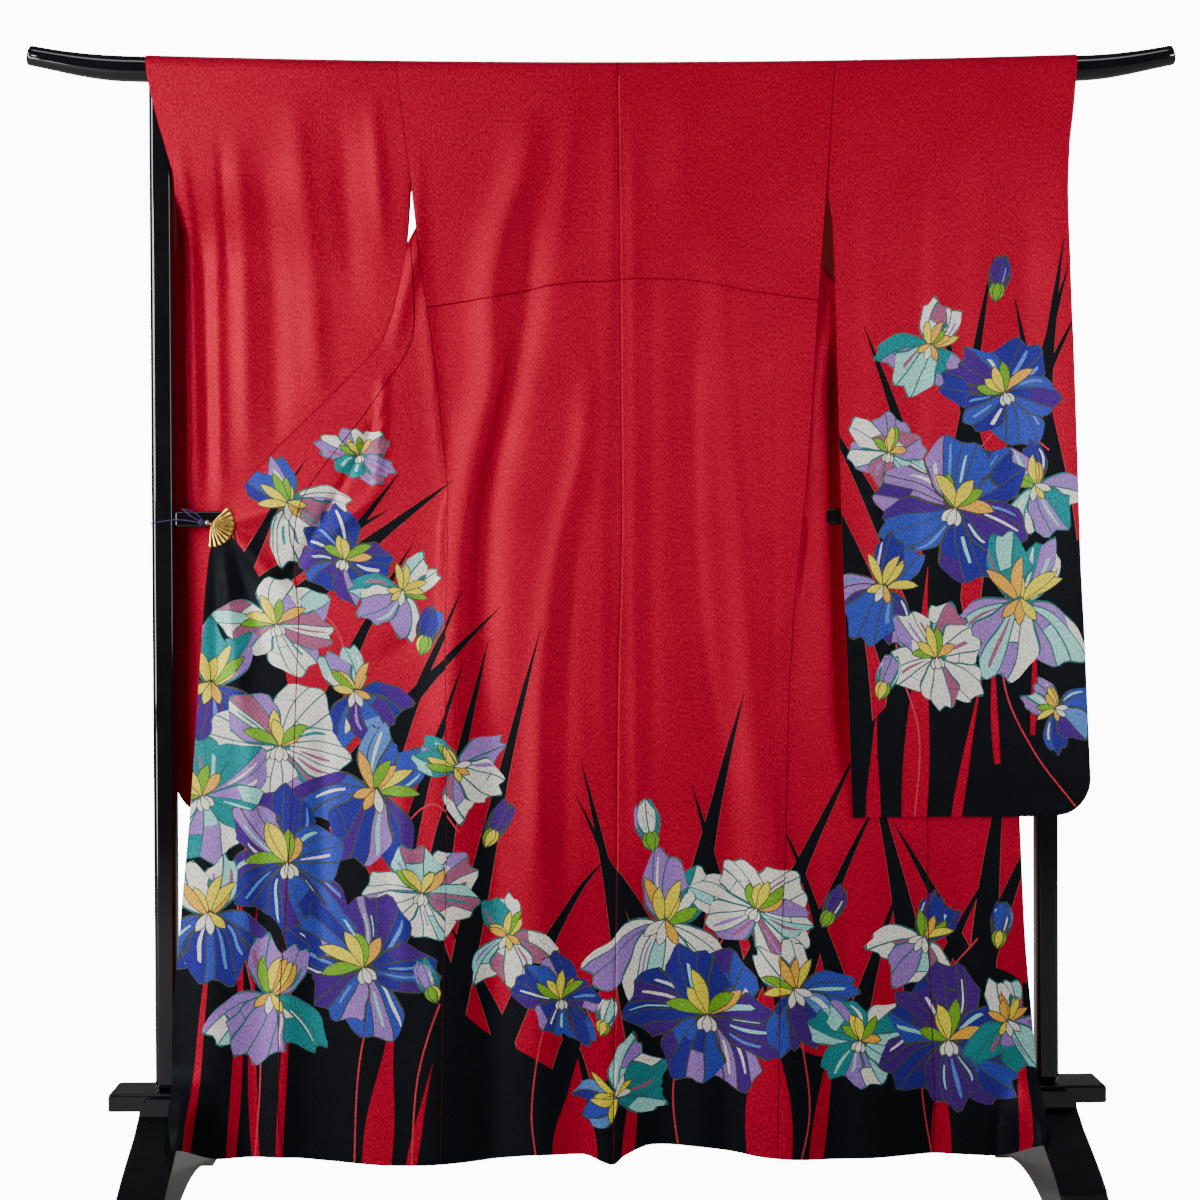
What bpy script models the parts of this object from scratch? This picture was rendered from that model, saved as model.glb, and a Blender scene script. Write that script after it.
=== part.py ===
"""A furisode kimono draped over a lacquered kimono rack. Metres, +Z up, the shown side at -Y.

The origin is on the floor, midway between the rack's feet. Heights on the cloth are given as a drop
below the top of the rail, so that one figure serves every panel that hangs from it.
"""
import math

import bmesh
import bpy
from mathutils import Vector

# Rack
RAIL_HALF_LENGTH = 0.817
RAIL_RADIUS = 0.018
RAIL_TIP_RADIUS = 0.014
RAIL_AXIS_Z = 1.609
RAIL_SAG = 0.010
RAIL_SAG_REACH = 0.66
RAIL_BAR_REACH = 0.68
RAIL_TIP_LIFT = 0.0147
POST_X = 0.63
POST_WIDTH = 0.032
POST_ROUNDING = 0.005
MIDDLE_RAIL_Z = 0.979
MIDDLE_RAIL_HEIGHT = 0.023
MIDDLE_RAIL_DEPTH = 0.021
PLANK_HALF_LENGTH = 0.708
PLANK_HALF_DEPTH = 0.0425
PLANK_BOTTOM = 0.142
PLANK_TOP = 0.167
FOOT_WIDTH = 0.065
FOOT_CROWN_Z = 0.162
FOOT_CROWN_HALF = 0.055
FOOT_ARCH_HALF = 0.215
FOOT_ARCH_HEIGHT = 0.0375
# The top of a foot's leg from the crown out to the toe: distance from the rack's plane, height
LEG_TOP = [(0.055, 0.139), (0.100, 0.118), (0.150, 0.1015), (0.200, 0.0835), (0.234, 0.068), (0.255, 0.049),
           (0.267, 0.028), (0.272, 0.012)]
TOE_REACH = 0.270

# Cloth
WALL = 0.0015
SEAM_HALF_GAP = 0.00022
FIT_GAP = 0.0003
DRAPE_RADIUS = RAIL_RADIUS + 0.0014
HEM_DROP = 1.567
NECK_DROP = 0.050
SLEEVE_DROP = 1.074
SLEEVE_BOTTOM_Z = 0.553
SLEEVE_CORNER_RADIUS = 0.055
FRONT_WIDTH = 0.230
OKUMI_WIDTH = 0.150
OKUMI_TIP_DROP = 0.27
COLLAR_WIDTH = 0.055
COLLAR_WALL = 0.003
COLLAR_END_DROP = 0.61
NECK_X = {"left": -0.071, "right": 0.109}
TUCK_PLY = (0.004, 0.010)
# Drops between which each front half comes forward from behind the rail
TUCK_DROPS = {"left": (0.12, 0.29), "right": (0.05, 0.29)}
BAG_GAP = 0.0045
BAG_SEAM = 0.0019
LEFT_BAG_Y = 0.0215

# Rows of the cloth, as drops below the top of the rail
ROWS = [0.05, 0.085, 0.12, 0.17, 0.22, 0.27, 0.32, 0.37, 0.43, 0.49, 0.55, 0.61, 0.66, 0.71, 0.77, 0.84,
        0.92, 1.01, 1.10, 1.20, 1.30, 1.39, 1.46, 1.52, HEM_DROP]
SLEEVE_END_ROWS = [1.01, 1.035, 1.055, 1.068, SLEEVE_DROP]

# Outlines: drop below the rail, distance from the middle of the rack on that side
SIDE_EDGE = {
    "left": [(0, 0.297), (0.08, 0.287), (0.16, 0.277), (0.29, 0.262), (0.47, 0.238), (0.65, 0.2246),
             (0.82, 0.229), (1.11, 0.228), (1.34, 0.234), (HEM_DROP, 0.238)],
    "right": [(0, 0.3296), (0.06, 0.325), (0.18, 0.3167), (0.34, 0.304), (0.57, 0.288), (0.80, 0.265),
              (0.92, 0.2567), (1.11, 0.250), (1.33, 0.2395), (HEM_DROP, 0.235)],
}
FREE_EDGE = {
    "left": [(0.05, 0.071), (0.264, 0.279), (0.31, 0.289), (0.39, 0.311), (0.48, 0.387), (0.57, 0.475),
             (0.66, 0.545), (0.72, 0.564), (0.86, 0.574), (1.05, 0.586), (1.245, 0.602), (1.40, 0.613),
             (1.50, 0.612), (HEM_DROP, 0.602)],
    "right": [(0.05, 0.109), (0.299, 0.310), (0.62, 0.540), (0.72, 0.568), (1.077, 0.582), (1.25, 0.587),
              (1.40, 0.598), (1.50, 0.604), (HEM_DROP, 0.600)],
}
CENTRE_SEAM = [(0, 0.019), (0.31, 0.021), (0.65, 0.0216), (0.90, 0.0144), (1.11, 0.0114), (HEM_DROP, 0.0036)]
SLEEVE_INNER = {
    "left": [(0.17, 0.276), (0.22, 0.2795), (0.27, 0.284), (0.35, 0.290), (SLEEVE_DROP, 0.292)],
    "right": [(0.18, 0.3167), (0.24, 0.3235), (0.32, 0.3265), (0.48, 0.330), (0.80, 0.338),
              (SLEEVE_DROP, 0.3446)],
}
# The outer edges of each sleeve's layers. The left one slips inside the post, the right one round it
SLEEVE_OUTER_SHOWN = {
    "left": [(0, 0.650), (0.03, 0.6465), (0.09, 0.633), (0.135, 0.620), (0.175, 0.6105), (0.25, 0.6105),
             (0.31, 0.622), (SLEEVE_DROP, 0.620)],
    "right": [(0, 0.676), (0.08, 0.669), (0.13, 0.663), (0.20, 0.660), (0.33, 0.664), (0.64, 0.673),
              (0.89, 0.679), (SLEEVE_DROP, 0.684)],
}
SLEEVE_OUTER_HIDDEN = {
    "left": [(0, 0.650), (0.10, 0.642), (0.20, 0.630), (0.31, 0.622), (SLEEVE_DROP, 0.620)],
    "right": [(0, 0.676), (0.05, 0.655), (0.085, 0.606), (0.13, 0.592), (0.19, 0.600), (0.22, 0.604),
              (0.25, 0.640), (0.28, 0.661), (0.33, 0.664), (0.64, 0.673), (0.89, 0.679),
              (SLEEVE_DROP, 0.684)],
}
# The hem's height above the floor along X
HEM = [(-0.64, 0.078), (-0.571, 0.082), (-0.475, 0.084), (-0.391, 0.077), (-0.298, 0.072), (-0.184, 0.075),
       (-0.099, 0.083), (-0.040, 0.083), (0.004, 0.068), (0.020, 0.080), (0.060, 0.093), (0.122, 0.090),
       (0.168, 0.084), (0.225, 0.076), (0.310, 0.074), (0.458, 0.078), (0.524, 0.077), (0.64, 0.075)]
# Folds that grow down to the hem: X and drop where one starts, X at the hem, depth there, half width
FOLDS = [
    (-0.205, 0.55, -0.250, 0.016, 0.055),
    (-0.160, 0.45, -0.167, -0.006, 0.022),
    (-0.091, 0.35, -0.100, 0.008, 0.035),
    (0.000, 0.90, 0.004, 0.006, 0.032),
    (0.080, 0.90, 0.080, -0.013, 0.045),
    (0.178, 0.45, 0.165, -0.006, 0.028),
    (0.217, 0.45, 0.260, 0.016, 0.050),
    (0.360, 0.80, 0.370, 0.012, 0.050),
    (0.450, 1.00, 0.457, -0.006, 0.024),
    (0.550, 0.90, 0.550, 0.010, 0.050),
    (-0.340, 0.80, -0.330, 0.010, 0.050),
    (-0.440, 0.90, -0.465, 0.010, 0.024),
    (-0.550, 0.80, -0.560, 0.012, 0.040),
]
# Creases that run from the clip and the armhole: X and drop of both ends, depth, half width
CREASES = [
    (-0.300, 0.36, -0.322, 0.56, 0.005, 0.014),
    (-0.325, 0.52, -0.455, 0.76, 0.006, 0.018),
    (-0.520, 0.70, -0.432, 0.86, 0.007, 0.018),
]

# Clip and cord
FAN_PIVOT = (-0.560, 0.9717)
FAN_RADIUS = 0.034
FAN_ANGLES = (-95.0, 32.0)
FAN_RIBS = 12
FAN_WALL = 0.001
FAN_PLEAT = 0.0005
JAW_SIZE = (0.014, 0.0012, 0.024)
BEAD_RADIUS = 0.0032
KNOT_RADIUS = 0.0029
CORD_RADIUS = 0.0008
CLIP_Y = -0.0215
# The cord's route by hand: from the knot across the post's front, round behind it, over the middle rail
# and back
CORD_ROUTE = [
    (-0.5757, -0.0215, 0.9732), (-0.590, -0.0205, 0.9765), (-0.612, -0.0183, 0.9780),
    (-0.632, -0.0177, 0.9755), (-0.6445, -0.0160, 0.9735), (-0.6475, -0.0085, 0.9728),
    (-0.6475, 0.0085, 0.9735), (-0.6445, 0.0160, 0.9750), (-0.632, 0.0178, 0.9785),
    (-0.616, 0.0176, 0.9860), (-0.6075, 0.0130, 0.9925), (-0.6050, 0.0020, 0.9940),
    (-0.6010, -0.0110, 0.9925), (-0.5930, -0.0190, 0.9865), (-0.5830, -0.0213, 0.9800),
    (-0.5764, -0.0215, 0.9762),
]
TAIL_ROUTE = [
    (-0.5728, -0.0222, 0.9770), (-0.5790, -0.0235, 0.9850), (-0.5900, -0.0240, 0.9910),
    (-0.6010, -0.0235, 0.9930),
]
CORD_STEP = 0.0042

SIGN = {"left": -1, "right": 1}


def ramp(value, start, end):
    """0 up to start, 1 from end, straight between them."""
    return min(1.0, max(0.0, (value - start) / (end - start)))


def ease(value, start, end):
    """The same with soft ends."""
    t = ramp(value, start, end)
    return t * t * (3 - 2 * t)


def mix(a, b, t):
    return a + (b - a) * t


def read(table, at):
    """A smooth curve through a table of (place, value) rows."""
    at = min(max(at, table[0][0]), table[-1][0])
    row = 0
    while row < len(table) - 2 and at > table[row + 1][0]:
        row += 1
    (x0, y0), (x1, y1) = table[row][:2], table[row + 1][:2]

    def slope(k):
        if k == 0 or k == len(table) - 1:
            return (y1 - y0) / (x1 - x0)
        before = (table[k][1] - table[k - 1][1]) / (table[k][0] - table[k - 1][0])
        after = (table[k + 1][1] - table[k][1]) / (table[k + 1][0] - table[k][0])
        return 0.0 if before * after <= 0 else 2 * before * after / (before + after)

    span = x1 - x0
    t = (at - x0) / span
    a, b = slope(row) * span, slope(row + 1) * span
    return ((2 * t**3 - 3 * t**2 + 1) * y0 + (t**3 - 2 * t**2 + t) * a
            + (3 * t**2 - 2 * t**3) * y1 + (t**3 - t**2) * b)


def rail_axis_z(x):
    """Height of the rail's axis: a shallow sag with upturned tips."""
    lift = ease(abs(x), RAIL_BAR_REACH, 2 * RAIL_HALF_LENGTH - RAIL_BAR_REACH)
    return RAIL_AXIS_Z + RAIL_SAG * (x / RAIL_SAG_REACH) ** 2 + 2 * RAIL_TIP_LIFT * lift


def rail_top_z(x):
    return rail_axis_z(x) + RAIL_RADIUS


def hang_z(x, drop, end_drop=HEM_DROP, end_z=None):
    """Height of a point of cloth. Below the first few centimetres it is shared out down to the hem."""
    if drop <= NECK_DROP:
        return rail_top_z(x) - drop
    bottom = read(HEM, x) + 0.032 * over_foot(x, drop) if end_z is None else end_z
    return mix(rail_top_z(x) - NECK_DROP, bottom, (drop - NECK_DROP) / (end_drop - NECK_DROP))


def over_foot(x, drop):
    """How far the hem's outer corners are pushed up on the feet, 0 to 1."""
    return ease(abs(x), 0.545, 0.597) * ease(drop, 1.43, HEM_DROP)


def shown_y(x, drop):
    """Depth of the outermost cloth on the shown side, with its folds."""
    y = -DRAPE_RADIUS - 0.011 * ease(drop, RAIL_RADIUS, 0.60) - 0.036 * ease(drop, 0.62, 1.45)
    for start_x, start_drop, hem_x, depth, half in FOLDS:
        grown = ease(drop, start_drop, HEM_DROP + 0.1)
        middle = mix(start_x, hem_x, ramp(drop, start_drop, HEM_DROP))
        y -= depth * grown * math.exp(-(((x - middle) / half) ** 2))
    for x0, drop0, x1, drop1, depth, half in CREASES:
        along = Vector((x1 - x0, drop1 - drop0))
        t = Vector((x - x0, drop - drop0)).dot(along) / along.length_squared
        t = min(1.0, max(0.0, t))
        away = (Vector((x - x0, drop - drop0)) - along * t).length
        y -= depth * math.sin(math.pi * mix(0.12, 0.88, t)) * math.exp(-((away / half) ** 2))
    return y - 0.075 * over_foot(x, drop)


def ply_offset(drop, ply):
    """How far behind the outermost cloth a tucked ply lies. It closes up below the tuck."""
    return TUCK_PLY[ply] * (1 - ease(drop, 0.70, 0.86))


# The rack


def material(name, colour, roughness, metallic=0.0):
    made = bpy.data.materials.new(name)
    made.use_nodes = True
    shader = made.node_tree.nodes["Principled BSDF"]
    shader.inputs["Base Color"].default_value = (*colour, 1)
    shader.inputs["Roughness"].default_value = roughness
    shader.inputs["Metallic"].default_value = metallic
    made.diffuse_color = (*colour, 1)
    return made


def place_object(name, data, colour, group=None):
    obj = bpy.data.objects.new(name, data)
    (group or parts).objects.link(obj)
    if colour:
        obj.data.materials.append(colour)
    return obj


def box(name, size, centre, rounding, colour, segments=2):
    """A box with rounded edges, its size written into its mesh so that the rounding is even."""
    mesh = bpy.data.meshes.new(name)
    bm = bmesh.new()
    bmesh.ops.create_cube(bm, size=1)
    bmesh.ops.scale(bm, vec=size, verts=bm.verts)
    bm.to_mesh(mesh)
    bm.free()
    obj = place_object(name, mesh, colour)
    obj.location = centre
    bevel = obj.modifiers.new("Rounding", "BEVEL")
    bevel.width = rounding
    bevel.segments = segments
    return obj


def tube(name, points, radius, colour, resolution=2, radii=None):
    """A rod or cord along a run of points, with filled ends."""
    curve = bpy.data.curves.new(name, "CURVE")
    curve.dimensions = "3D"
    curve.bevel_depth = radius
    curve.bevel_resolution = resolution
    curve.use_fill_caps = True
    spline = curve.splines.new("POLY")
    spline.points.add(len(points) - 1)
    for k, point in enumerate(points):
        spline.points[k].co = (*point, 1)
        spline.points[k].radius = radii[k] if radii else 1
    return place_object(name, curve, colour)


def make_top_rail(colour):
    bar_steps, tip_steps = 14, 3
    bar = [mix(-RAIL_BAR_REACH, RAIL_BAR_REACH, k / bar_steps) for k in range(bar_steps + 1)]
    tip = [mix(RAIL_BAR_REACH, RAIL_HALF_LENGTH, k / tip_steps) for k in range(1, tip_steps + 1)]
    points, radii = [], []
    for x in [-x for x in reversed(tip)] + bar + tip:
        points.append((x, 0, rail_axis_z(x)))
        taper = ease(abs(x), RAIL_BAR_REACH, RAIL_HALF_LENGTH)
        radii.append(mix(1, RAIL_TIP_RADIUS / RAIL_RADIUS, taper))
    tube("top_rail", points, RAIL_RADIUS, colour, 6, radii)


def make_post(side, colour):
    """A square post with rounded corners, saddled under the top rail."""
    x = SIGN[side] * POST_X
    bottom, top = PLANK_TOP + FIT_GAP, rail_axis_z(x)
    post = box(f"post_{side}", (POST_WIDTH, POST_WIDTH, top - bottom), (x, 0, (top + bottom) / 2),
               POST_ROUNDING, colour)
    mesh = bpy.data.meshes.new(f"saddle_{side}")
    bm = bmesh.new()
    bmesh.ops.create_cone(bm, cap_ends=True, segments=32, radius1=RAIL_RADIUS + 0.0005,
                          radius2=RAIL_RADIUS + 0.0005, depth=4 * POST_WIDTH)
    bm.to_mesh(mesh)
    bm.free()
    saddle = place_object(f"saddle_{side}", mesh, None, cutters)
    saddle.location = (x, 0, rail_axis_z(x))
    tilt = math.atan((rail_axis_z(x + 0.01) - rail_axis_z(x - 0.01)) / 0.02)
    saddle.rotation_euler = (0, math.pi / 2 - tilt, 0)
    saddle.hide_render = True
    saddle.display_type = "WIRE"
    cut = post.modifiers.new("Saddle", "BOOLEAN")
    cut.object = saddle
    cut.solver = "EXACT"


def make_foot(side, colour):
    """An arched foot, a flat outline across the rack, with a notch in its crown for the plank."""
    half = [(PLANK_HALF_DEPTH + FIT_GAP, PLANK_BOTTOM - FIT_GAP), (PLANK_HALF_DEPTH + FIT_GAP, FOOT_CROWN_Z),
            (FOOT_CROWN_HALF, FOOT_CROWN_Z), *LEG_TOP, (TOE_REACH, 0.0)]
    arch = []
    steps = 12
    for k in range(steps + 1):
        y = mix(FOOT_ARCH_HALF, -FOOT_ARCH_HALF, k / steps)
        arch.append((y, FOOT_ARCH_HEIGHT * (1 - (y / FOOT_ARCH_HALF) ** 2)))
    outline = half + arch + [(-y, z) for y, z in reversed(half)]
    curve = bpy.data.curves.new(f"foot_{side}", "CURVE")
    curve.dimensions = "2D"
    curve.fill_mode = "BOTH"
    curve.extrude = FOOT_WIDTH / 2
    spline = curve.splines.new("POLY")
    spline.points.add(len(outline) - 1)
    for point, (y, z) in zip(spline.points, outline):
        point.co = (y, z, 0, 1)
    spline.use_cyclic_u = True
    foot = place_object(f"foot_{side}", curve, colour)
    foot.location = (SIGN[side] * POST_X, 0, 0)
    foot.rotation_euler = (math.pi / 2, 0, math.pi / 2)


def make_rack():
    lacquer = material("black_lacquer", (0.004, 0.004, 0.006), 0.12)
    make_top_rail(lacquer)
    for side in SIGN:
        make_post(side, lacquer)
        make_foot(side, lacquer)
    reach = POST_X - POST_WIDTH / 2 - FIT_GAP
    box("middle_rail", (2 * reach, MIDDLE_RAIL_DEPTH, MIDDLE_RAIL_HEIGHT), (0, 0, MIDDLE_RAIL_Z),
        0.004, lacquer)
    box("tie_plank", (2 * PLANK_HALF_LENGTH, 2 * PLANK_HALF_DEPTH, PLANK_TOP - PLANK_BOTTOM),
        (0, 0, (PLANK_TOP + PLANK_BOTTOM) / 2), 0.003, lacquer)


# The garment


def add_grid(bm, columns, rows, place):
    """A sheet of columns by rows cells. place(column, row) says where each corner hangs."""
    made = bmesh.ops.create_grid(bm, x_segments=columns, y_segments=rows, size=0.5)
    for vert in made["verts"]:
        vert.co = place(round((vert.co.x + 0.5) * columns), round((vert.co.y + 0.5) * rows))


def cloth(name, sheets, colour, wall=WALL):
    """A wall of cloth from one or more sheets that share their edges."""
    bm = bmesh.new()
    for columns, rows, place in sheets:
        add_grid(bm, columns, rows, place)
    bmesh.ops.remove_doubles(bm, verts=bm.verts, dist=0.00005)
    bmesh.ops.recalc_face_normals(bm, faces=bm.faces)
    mesh = bpy.data.meshes.new(name)
    bm.to_mesh(mesh)
    bm.free()
    obj = place_object(name, mesh, colour)
    shell = obj.modifiers.new("Cloth wall", "SOLIDIFY")
    shell.thickness = wall
    shell.offset = 0
    return obj


def over_rail(x, angle):
    """Where cloth lies on the top rail, -90 degrees on the shown side and 90 degrees behind."""
    return Vector((x, DRAPE_RADIUS * math.sin(angle), rail_axis_z(x) + DRAPE_RADIUS * math.cos(angle)))


def front_width(side, drop):
    """Width of the front half's body panel. It widens from the neck to its full width."""
    start = read(SIDE_EDGE[side], NECK_DROP) - SEAM_HALF_GAP - SIGN[side] * NECK_X[side]
    return mix(start, FRONT_WIDTH, ramp(drop, NECK_DROP, 0.25))


def front_half(side, along, drop):
    """A point of the front half, along it from the side seam.

    The cloth is tucked behind the back, then opened outwards.
    """
    start = read(SIDE_EDGE[side], drop) + mix(-SEAM_HALF_GAP, SEAM_HALF_GAP, ramp(drop, 0.3, 0.6))
    end = read(FREE_EDGE[side], drop)
    whole = front_width(side, drop) + OKUMI_WIDTH * ramp(drop, 0.25, 0.80)
    tucked = max(0.0, (whole - (end - start)) / 2) * (1 - ease(drop, 0.53, 0.68))
    turn = start - tucked
    if along < tucked:
        out = start - along
    else:
        out = turn + (along - tucked) * (end - turn) / max(whole - tucked, 1e-6)
    x = SIGN[side] * out
    shown = shown_y(x, drop)
    behind = [shown + ply_offset(drop, 0), shown + ply_offset(drop, 1)]
    brought = ease(drop, *TUCK_DROPS[side])
    plies = [mix(DRAPE_RADIUS, behind[0], brought),
             mix(DRAPE_RADIUS + 0.006 * ease(drop, 0.05, 0.12), behind[1], brought)]
    share = ramp(along, tucked - 0.008, tucked + 0.008) if drop > NECK_DROP else 0
    return Vector((x, mix(plies[0], plies[1], share), hang_z(x, drop)))


def make_body(side, colour):
    """One length of cloth from the back's hem over the rail, and down to the front's hem."""
    neck_columns, more_columns, arc_steps = 8, 3, 10
    neck_out = SIGN[side] * NECK_X[side]
    side_out = read(SIDE_EDGE[side], NECK_DROP) - SEAM_HALF_GAP
    centre_out = SIGN[side] * (read(CENTRE_SEAM, NECK_DROP) + SIGN[side] * SEAM_HALF_GAP)
    neck_share = (side_out - neck_out) / (side_out - centre_out)
    shares = [neck_share * k / neck_columns for k in range(neck_columns)]
    shares += [mix(neck_share, 1, k / more_columns) for k in range(more_columns + 1)]
    shown_rows = list(reversed(ROWS)) + [RAIL_RADIUS]

    def out_at(share, drop):
        side_edge = read(SIDE_EDGE[side], drop) - SEAM_HALF_GAP
        centre = SIGN[side] * (read(CENTRE_SEAM, drop) + SIGN[side] * SEAM_HALF_GAP)
        return mix(side_edge, centre, share)

    def back(column, row):
        share = shares[column]
        if row < len(shown_rows):
            drop = shown_rows[row]
            x = SIGN[side] * out_at(share, drop)
            return Vector((x, shown_y(x, drop), hang_z(x, drop)))
        step = row - len(shown_rows) + 1
        if step <= arc_steps:
            angle = math.pi * (step / arc_steps - 0.5)
            drop = RAIL_RADIUS * (1 - math.cos(angle))
            x = SIGN[side] * out_at(share, drop)
            return over_rail(x, angle)
        x = SIGN[side] * out_at(share, NECK_DROP)
        return Vector((x, DRAPE_RADIUS, hang_z(x, NECK_DROP)))

    def front(column, row):
        drop = ROWS[row]
        width = front_width(side, drop) - SEAM_HALF_GAP * ramp(drop, NECK_DROP, 0.1)
        return front_half(side, width * column / neck_columns, drop)

    back_rows = len(shown_rows) + arc_steps
    cloth(f"body_{side}", [(neck_columns + more_columns, back_rows, back),
                           (neck_columns, len(ROWS) - 1, front)], colour)


def make_okumi(side, colour):
    """The overlap panel along the front half's free edge, from its pointed tip to the hem."""
    columns = 4
    rows = [drop for drop in ROWS if drop >= OKUMI_TIP_DROP]

    def hang(column, row):
        drop = rows[row]
        inner = front_width(side, drop) + SEAM_HALF_GAP
        outer = front_width(side, drop) + OKUMI_WIDTH * ramp(drop, 0.25, 0.80)
        return front_half(side, mix(inner, outer, column / columns), drop)

    cloth(f"okumi_{side}", [(columns, len(rows) - 1, hang)], colour)


def sleeve_out(side, edge, share, drop):
    """Distance from the middle of the rack across a sleeve layer. Its outer bottom corner is round."""
    if drop <= SLEEVE_INNER[side][0][0]:
        inner = read(SIDE_EDGE[side], drop) + SEAM_HALF_GAP
    else:
        inner = read(SLEEVE_INNER[side], drop) + SEAM_HALF_GAP
    rest = max(0.0, SLEEVE_CORNER_RADIUS - (SLEEVE_DROP - drop))
    inset = SLEEVE_CORNER_RADIUS - math.sqrt(SLEEVE_CORNER_RADIUS**2 - rest**2)
    return mix(inner, read(edge[side], drop) - inset, share)


def sleeve_layers(side, x, share, drop):
    """Depths of a sleeve's shown and hidden layers. They close up at the outer seam and the bottom."""
    seam = max(ease(drop, 1.0, 1.06), ease(share, 0.8, 1) * ease(drop, 0.26, 0.33))
    gap = mix(BAG_GAP, BAG_SEAM, seam)
    if side == "left":
        passed = ease(drop, 0.15, mix(0.40, 0.27, share))
        shown = mix(-DRAPE_RADIUS, LEFT_BAG_Y, passed)
        return shown, mix(DRAPE_RADIUS, LEFT_BAG_Y + gap, ease(drop, 0.05, 0.27))
    bag = shown_y(x, drop) + ply_offset(drop, 1) - 0.0045 - 0.004 * ease(abs(x), 0.45, 0.6)
    shown = mix(-DRAPE_RADIUS, bag - gap, ease(drop, RAIL_RADIUS, 0.22))
    return shown, mix(DRAPE_RADIUS, bag, ease(drop, mix(0.05, 0.085, share), mix(0.30, 0.215, share)))


def make_sleeve(side, colour):
    """One length folded over the rail. Its layers meet below the cuff opening and along the bottom."""
    columns, arc_steps = 8, 10
    drops = [RAIL_RADIUS] + [drop for drop in ROWS if drop < SLEEVE_END_ROWS[0]] + SLEEVE_END_ROWS

    def layer(column, drop, hidden):
        share = column / columns
        edge = SLEEVE_OUTER_HIDDEN if hidden else SLEEVE_OUTER_SHOWN
        x = SIGN[side] * sleeve_out(side, edge, share, drop)
        z = hang_z(x, drop, SLEEVE_DROP, SLEEVE_BOTTOM_Z)
        return Vector((x, sleeve_layers(side, x, share, drop)[hidden], z))

    def hang(column, row):
        if row < len(drops):
            return layer(column, drops[len(drops) - 1 - row], False)
        step = row - len(drops) + 1
        if step < arc_steps:
            angle = math.pi * (step / arc_steps - 0.5)
            drop = RAIL_RADIUS * (1 - math.cos(angle))
            return over_rail(SIGN[side] * sleeve_out(side, SLEEVE_OUTER_SHOWN, column / columns, drop), angle)
        return layer(column, drops[step - arc_steps], True)

    cloth(f"sleeve_{side}", [(columns, 2 * len(drops) + arc_steps - 2, hang)], colour)


def make_collar(colour):
    """A folded band round the neck, lying flat behind the rail and behind both front edges."""
    steps, neck_steps = 15, 6
    path = []
    for k in range(steps):
        path.append(("left", mix(COLLAR_END_DROP, NECK_DROP, k / steps), 0))
    for k in range(neck_steps + 1):
        path.append(("neck", NECK_DROP, k / neck_steps))
    for k in range(1, steps + 1):
        path.append(("right", mix(NECK_DROP, COLLAR_END_DROP, k / steps), 0))

    def seam(index):
        side, drop, share = path[index]
        if side == "neck":
            return Vector((mix(NECK_X["left"], NECK_X["right"], share), -drop))
        return Vector((SIGN[side] * read(FREE_EDGE[side], drop), -drop))

    def hang(column, row):
        before, after = seam(max(row - 1, 0)), seam(min(row + 1, len(path) - 1))
        along = (after - before).normalized()
        inward = Vector((along.y, -along.x))
        point = seam(row) + inward * (COLLAR_WIDTH * (column / 2) - 0.003)
        x, drop = point.x, -point.y
        side = "left" if x < NECK_X["left"] or path[row][0] == "left" else "right"
        rear = DRAPE_RADIUS + 0.005 + 0.006 * ease(drop, 0.05, 0.12)
        front = shown_y(x, drop) + TUCK_PLY[1] + 0.005
        return Vector((x, mix(rear, front, ease(drop, *TUCK_DROPS[side])), hang_z(x, drop)))

    cloth("collar", [(2, len(path) - 1, hang)], colour, COLLAR_WALL)


def make_garment():
    silk = material("red_silk", (0.43, 0.006, 0.02), 0.45)
    for side in SIGN:
        make_body(side, silk)
        make_okumi(side, silk)
        make_sleeve(side, silk)
    make_collar(silk)


# The clip


def smooth_route(route, step):
    """Points at even steps along a smooth curve through the route's own points."""
    points = [Vector(p) for p in route]
    points = [2 * points[0] - points[1], *points, 2 * points[-1] - points[-2]]
    dense = []
    for k in range(1, len(points) - 2):
        before, start, end, after = points[k - 1:k + 3]
        for part in range(12):
            t = part / 12
            dense.append(0.5 * (2 * start + (end - before) * t
                                + (2 * before - 5 * start + 4 * end - after) * t**2
                                + (3 * start - before - 3 * end + after) * t**3))
    dense.append(points[-2])
    length = sum((b - a).length for a, b in zip(dense, dense[1:]))
    count = max(2, round(length / step))
    even, walked, k = [dense[0]], 0.0, 0
    for number in range(1, count):
        target = length * number / count
        while walked + (dense[k + 1] - dense[k]).length < target:
            walked += (dense[k + 1] - dense[k]).length
            k += 1
        even.append(dense[k].lerp(dense[k + 1], (target - walked) / (dense[k + 1] - dense[k]).length))
    return even + [dense[-1]]


def make_fan_clip(colour):
    """A folding fan of thin metal in front of the cloth, its ribs pleated and its rim scalloped."""
    face_y = clip_cloth_y(0) - WALL / 2 - FIT_GAP - FAN_PLEAT - FAN_WALL / 2

    def spread(column, row):
        angle = math.radians(mix(*FAN_ANGLES, column / (2 * FAN_RIBS)))
        crest = column % 2
        reach = mix(0.004, FAN_RADIUS - 0.0012 * (1 - crest), row / 2)
        pleat = FAN_PLEAT * (1 if crest else -1) * row / 2
        return Vector((FAN_PIVOT[0] + reach * math.cos(angle), face_y - pleat,
                       FAN_PIVOT[1] + reach * math.sin(angle)))

    cloth("fan_clip", [(2 * FAN_RIBS, 2, spread)], colour, FAN_WALL)


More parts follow.
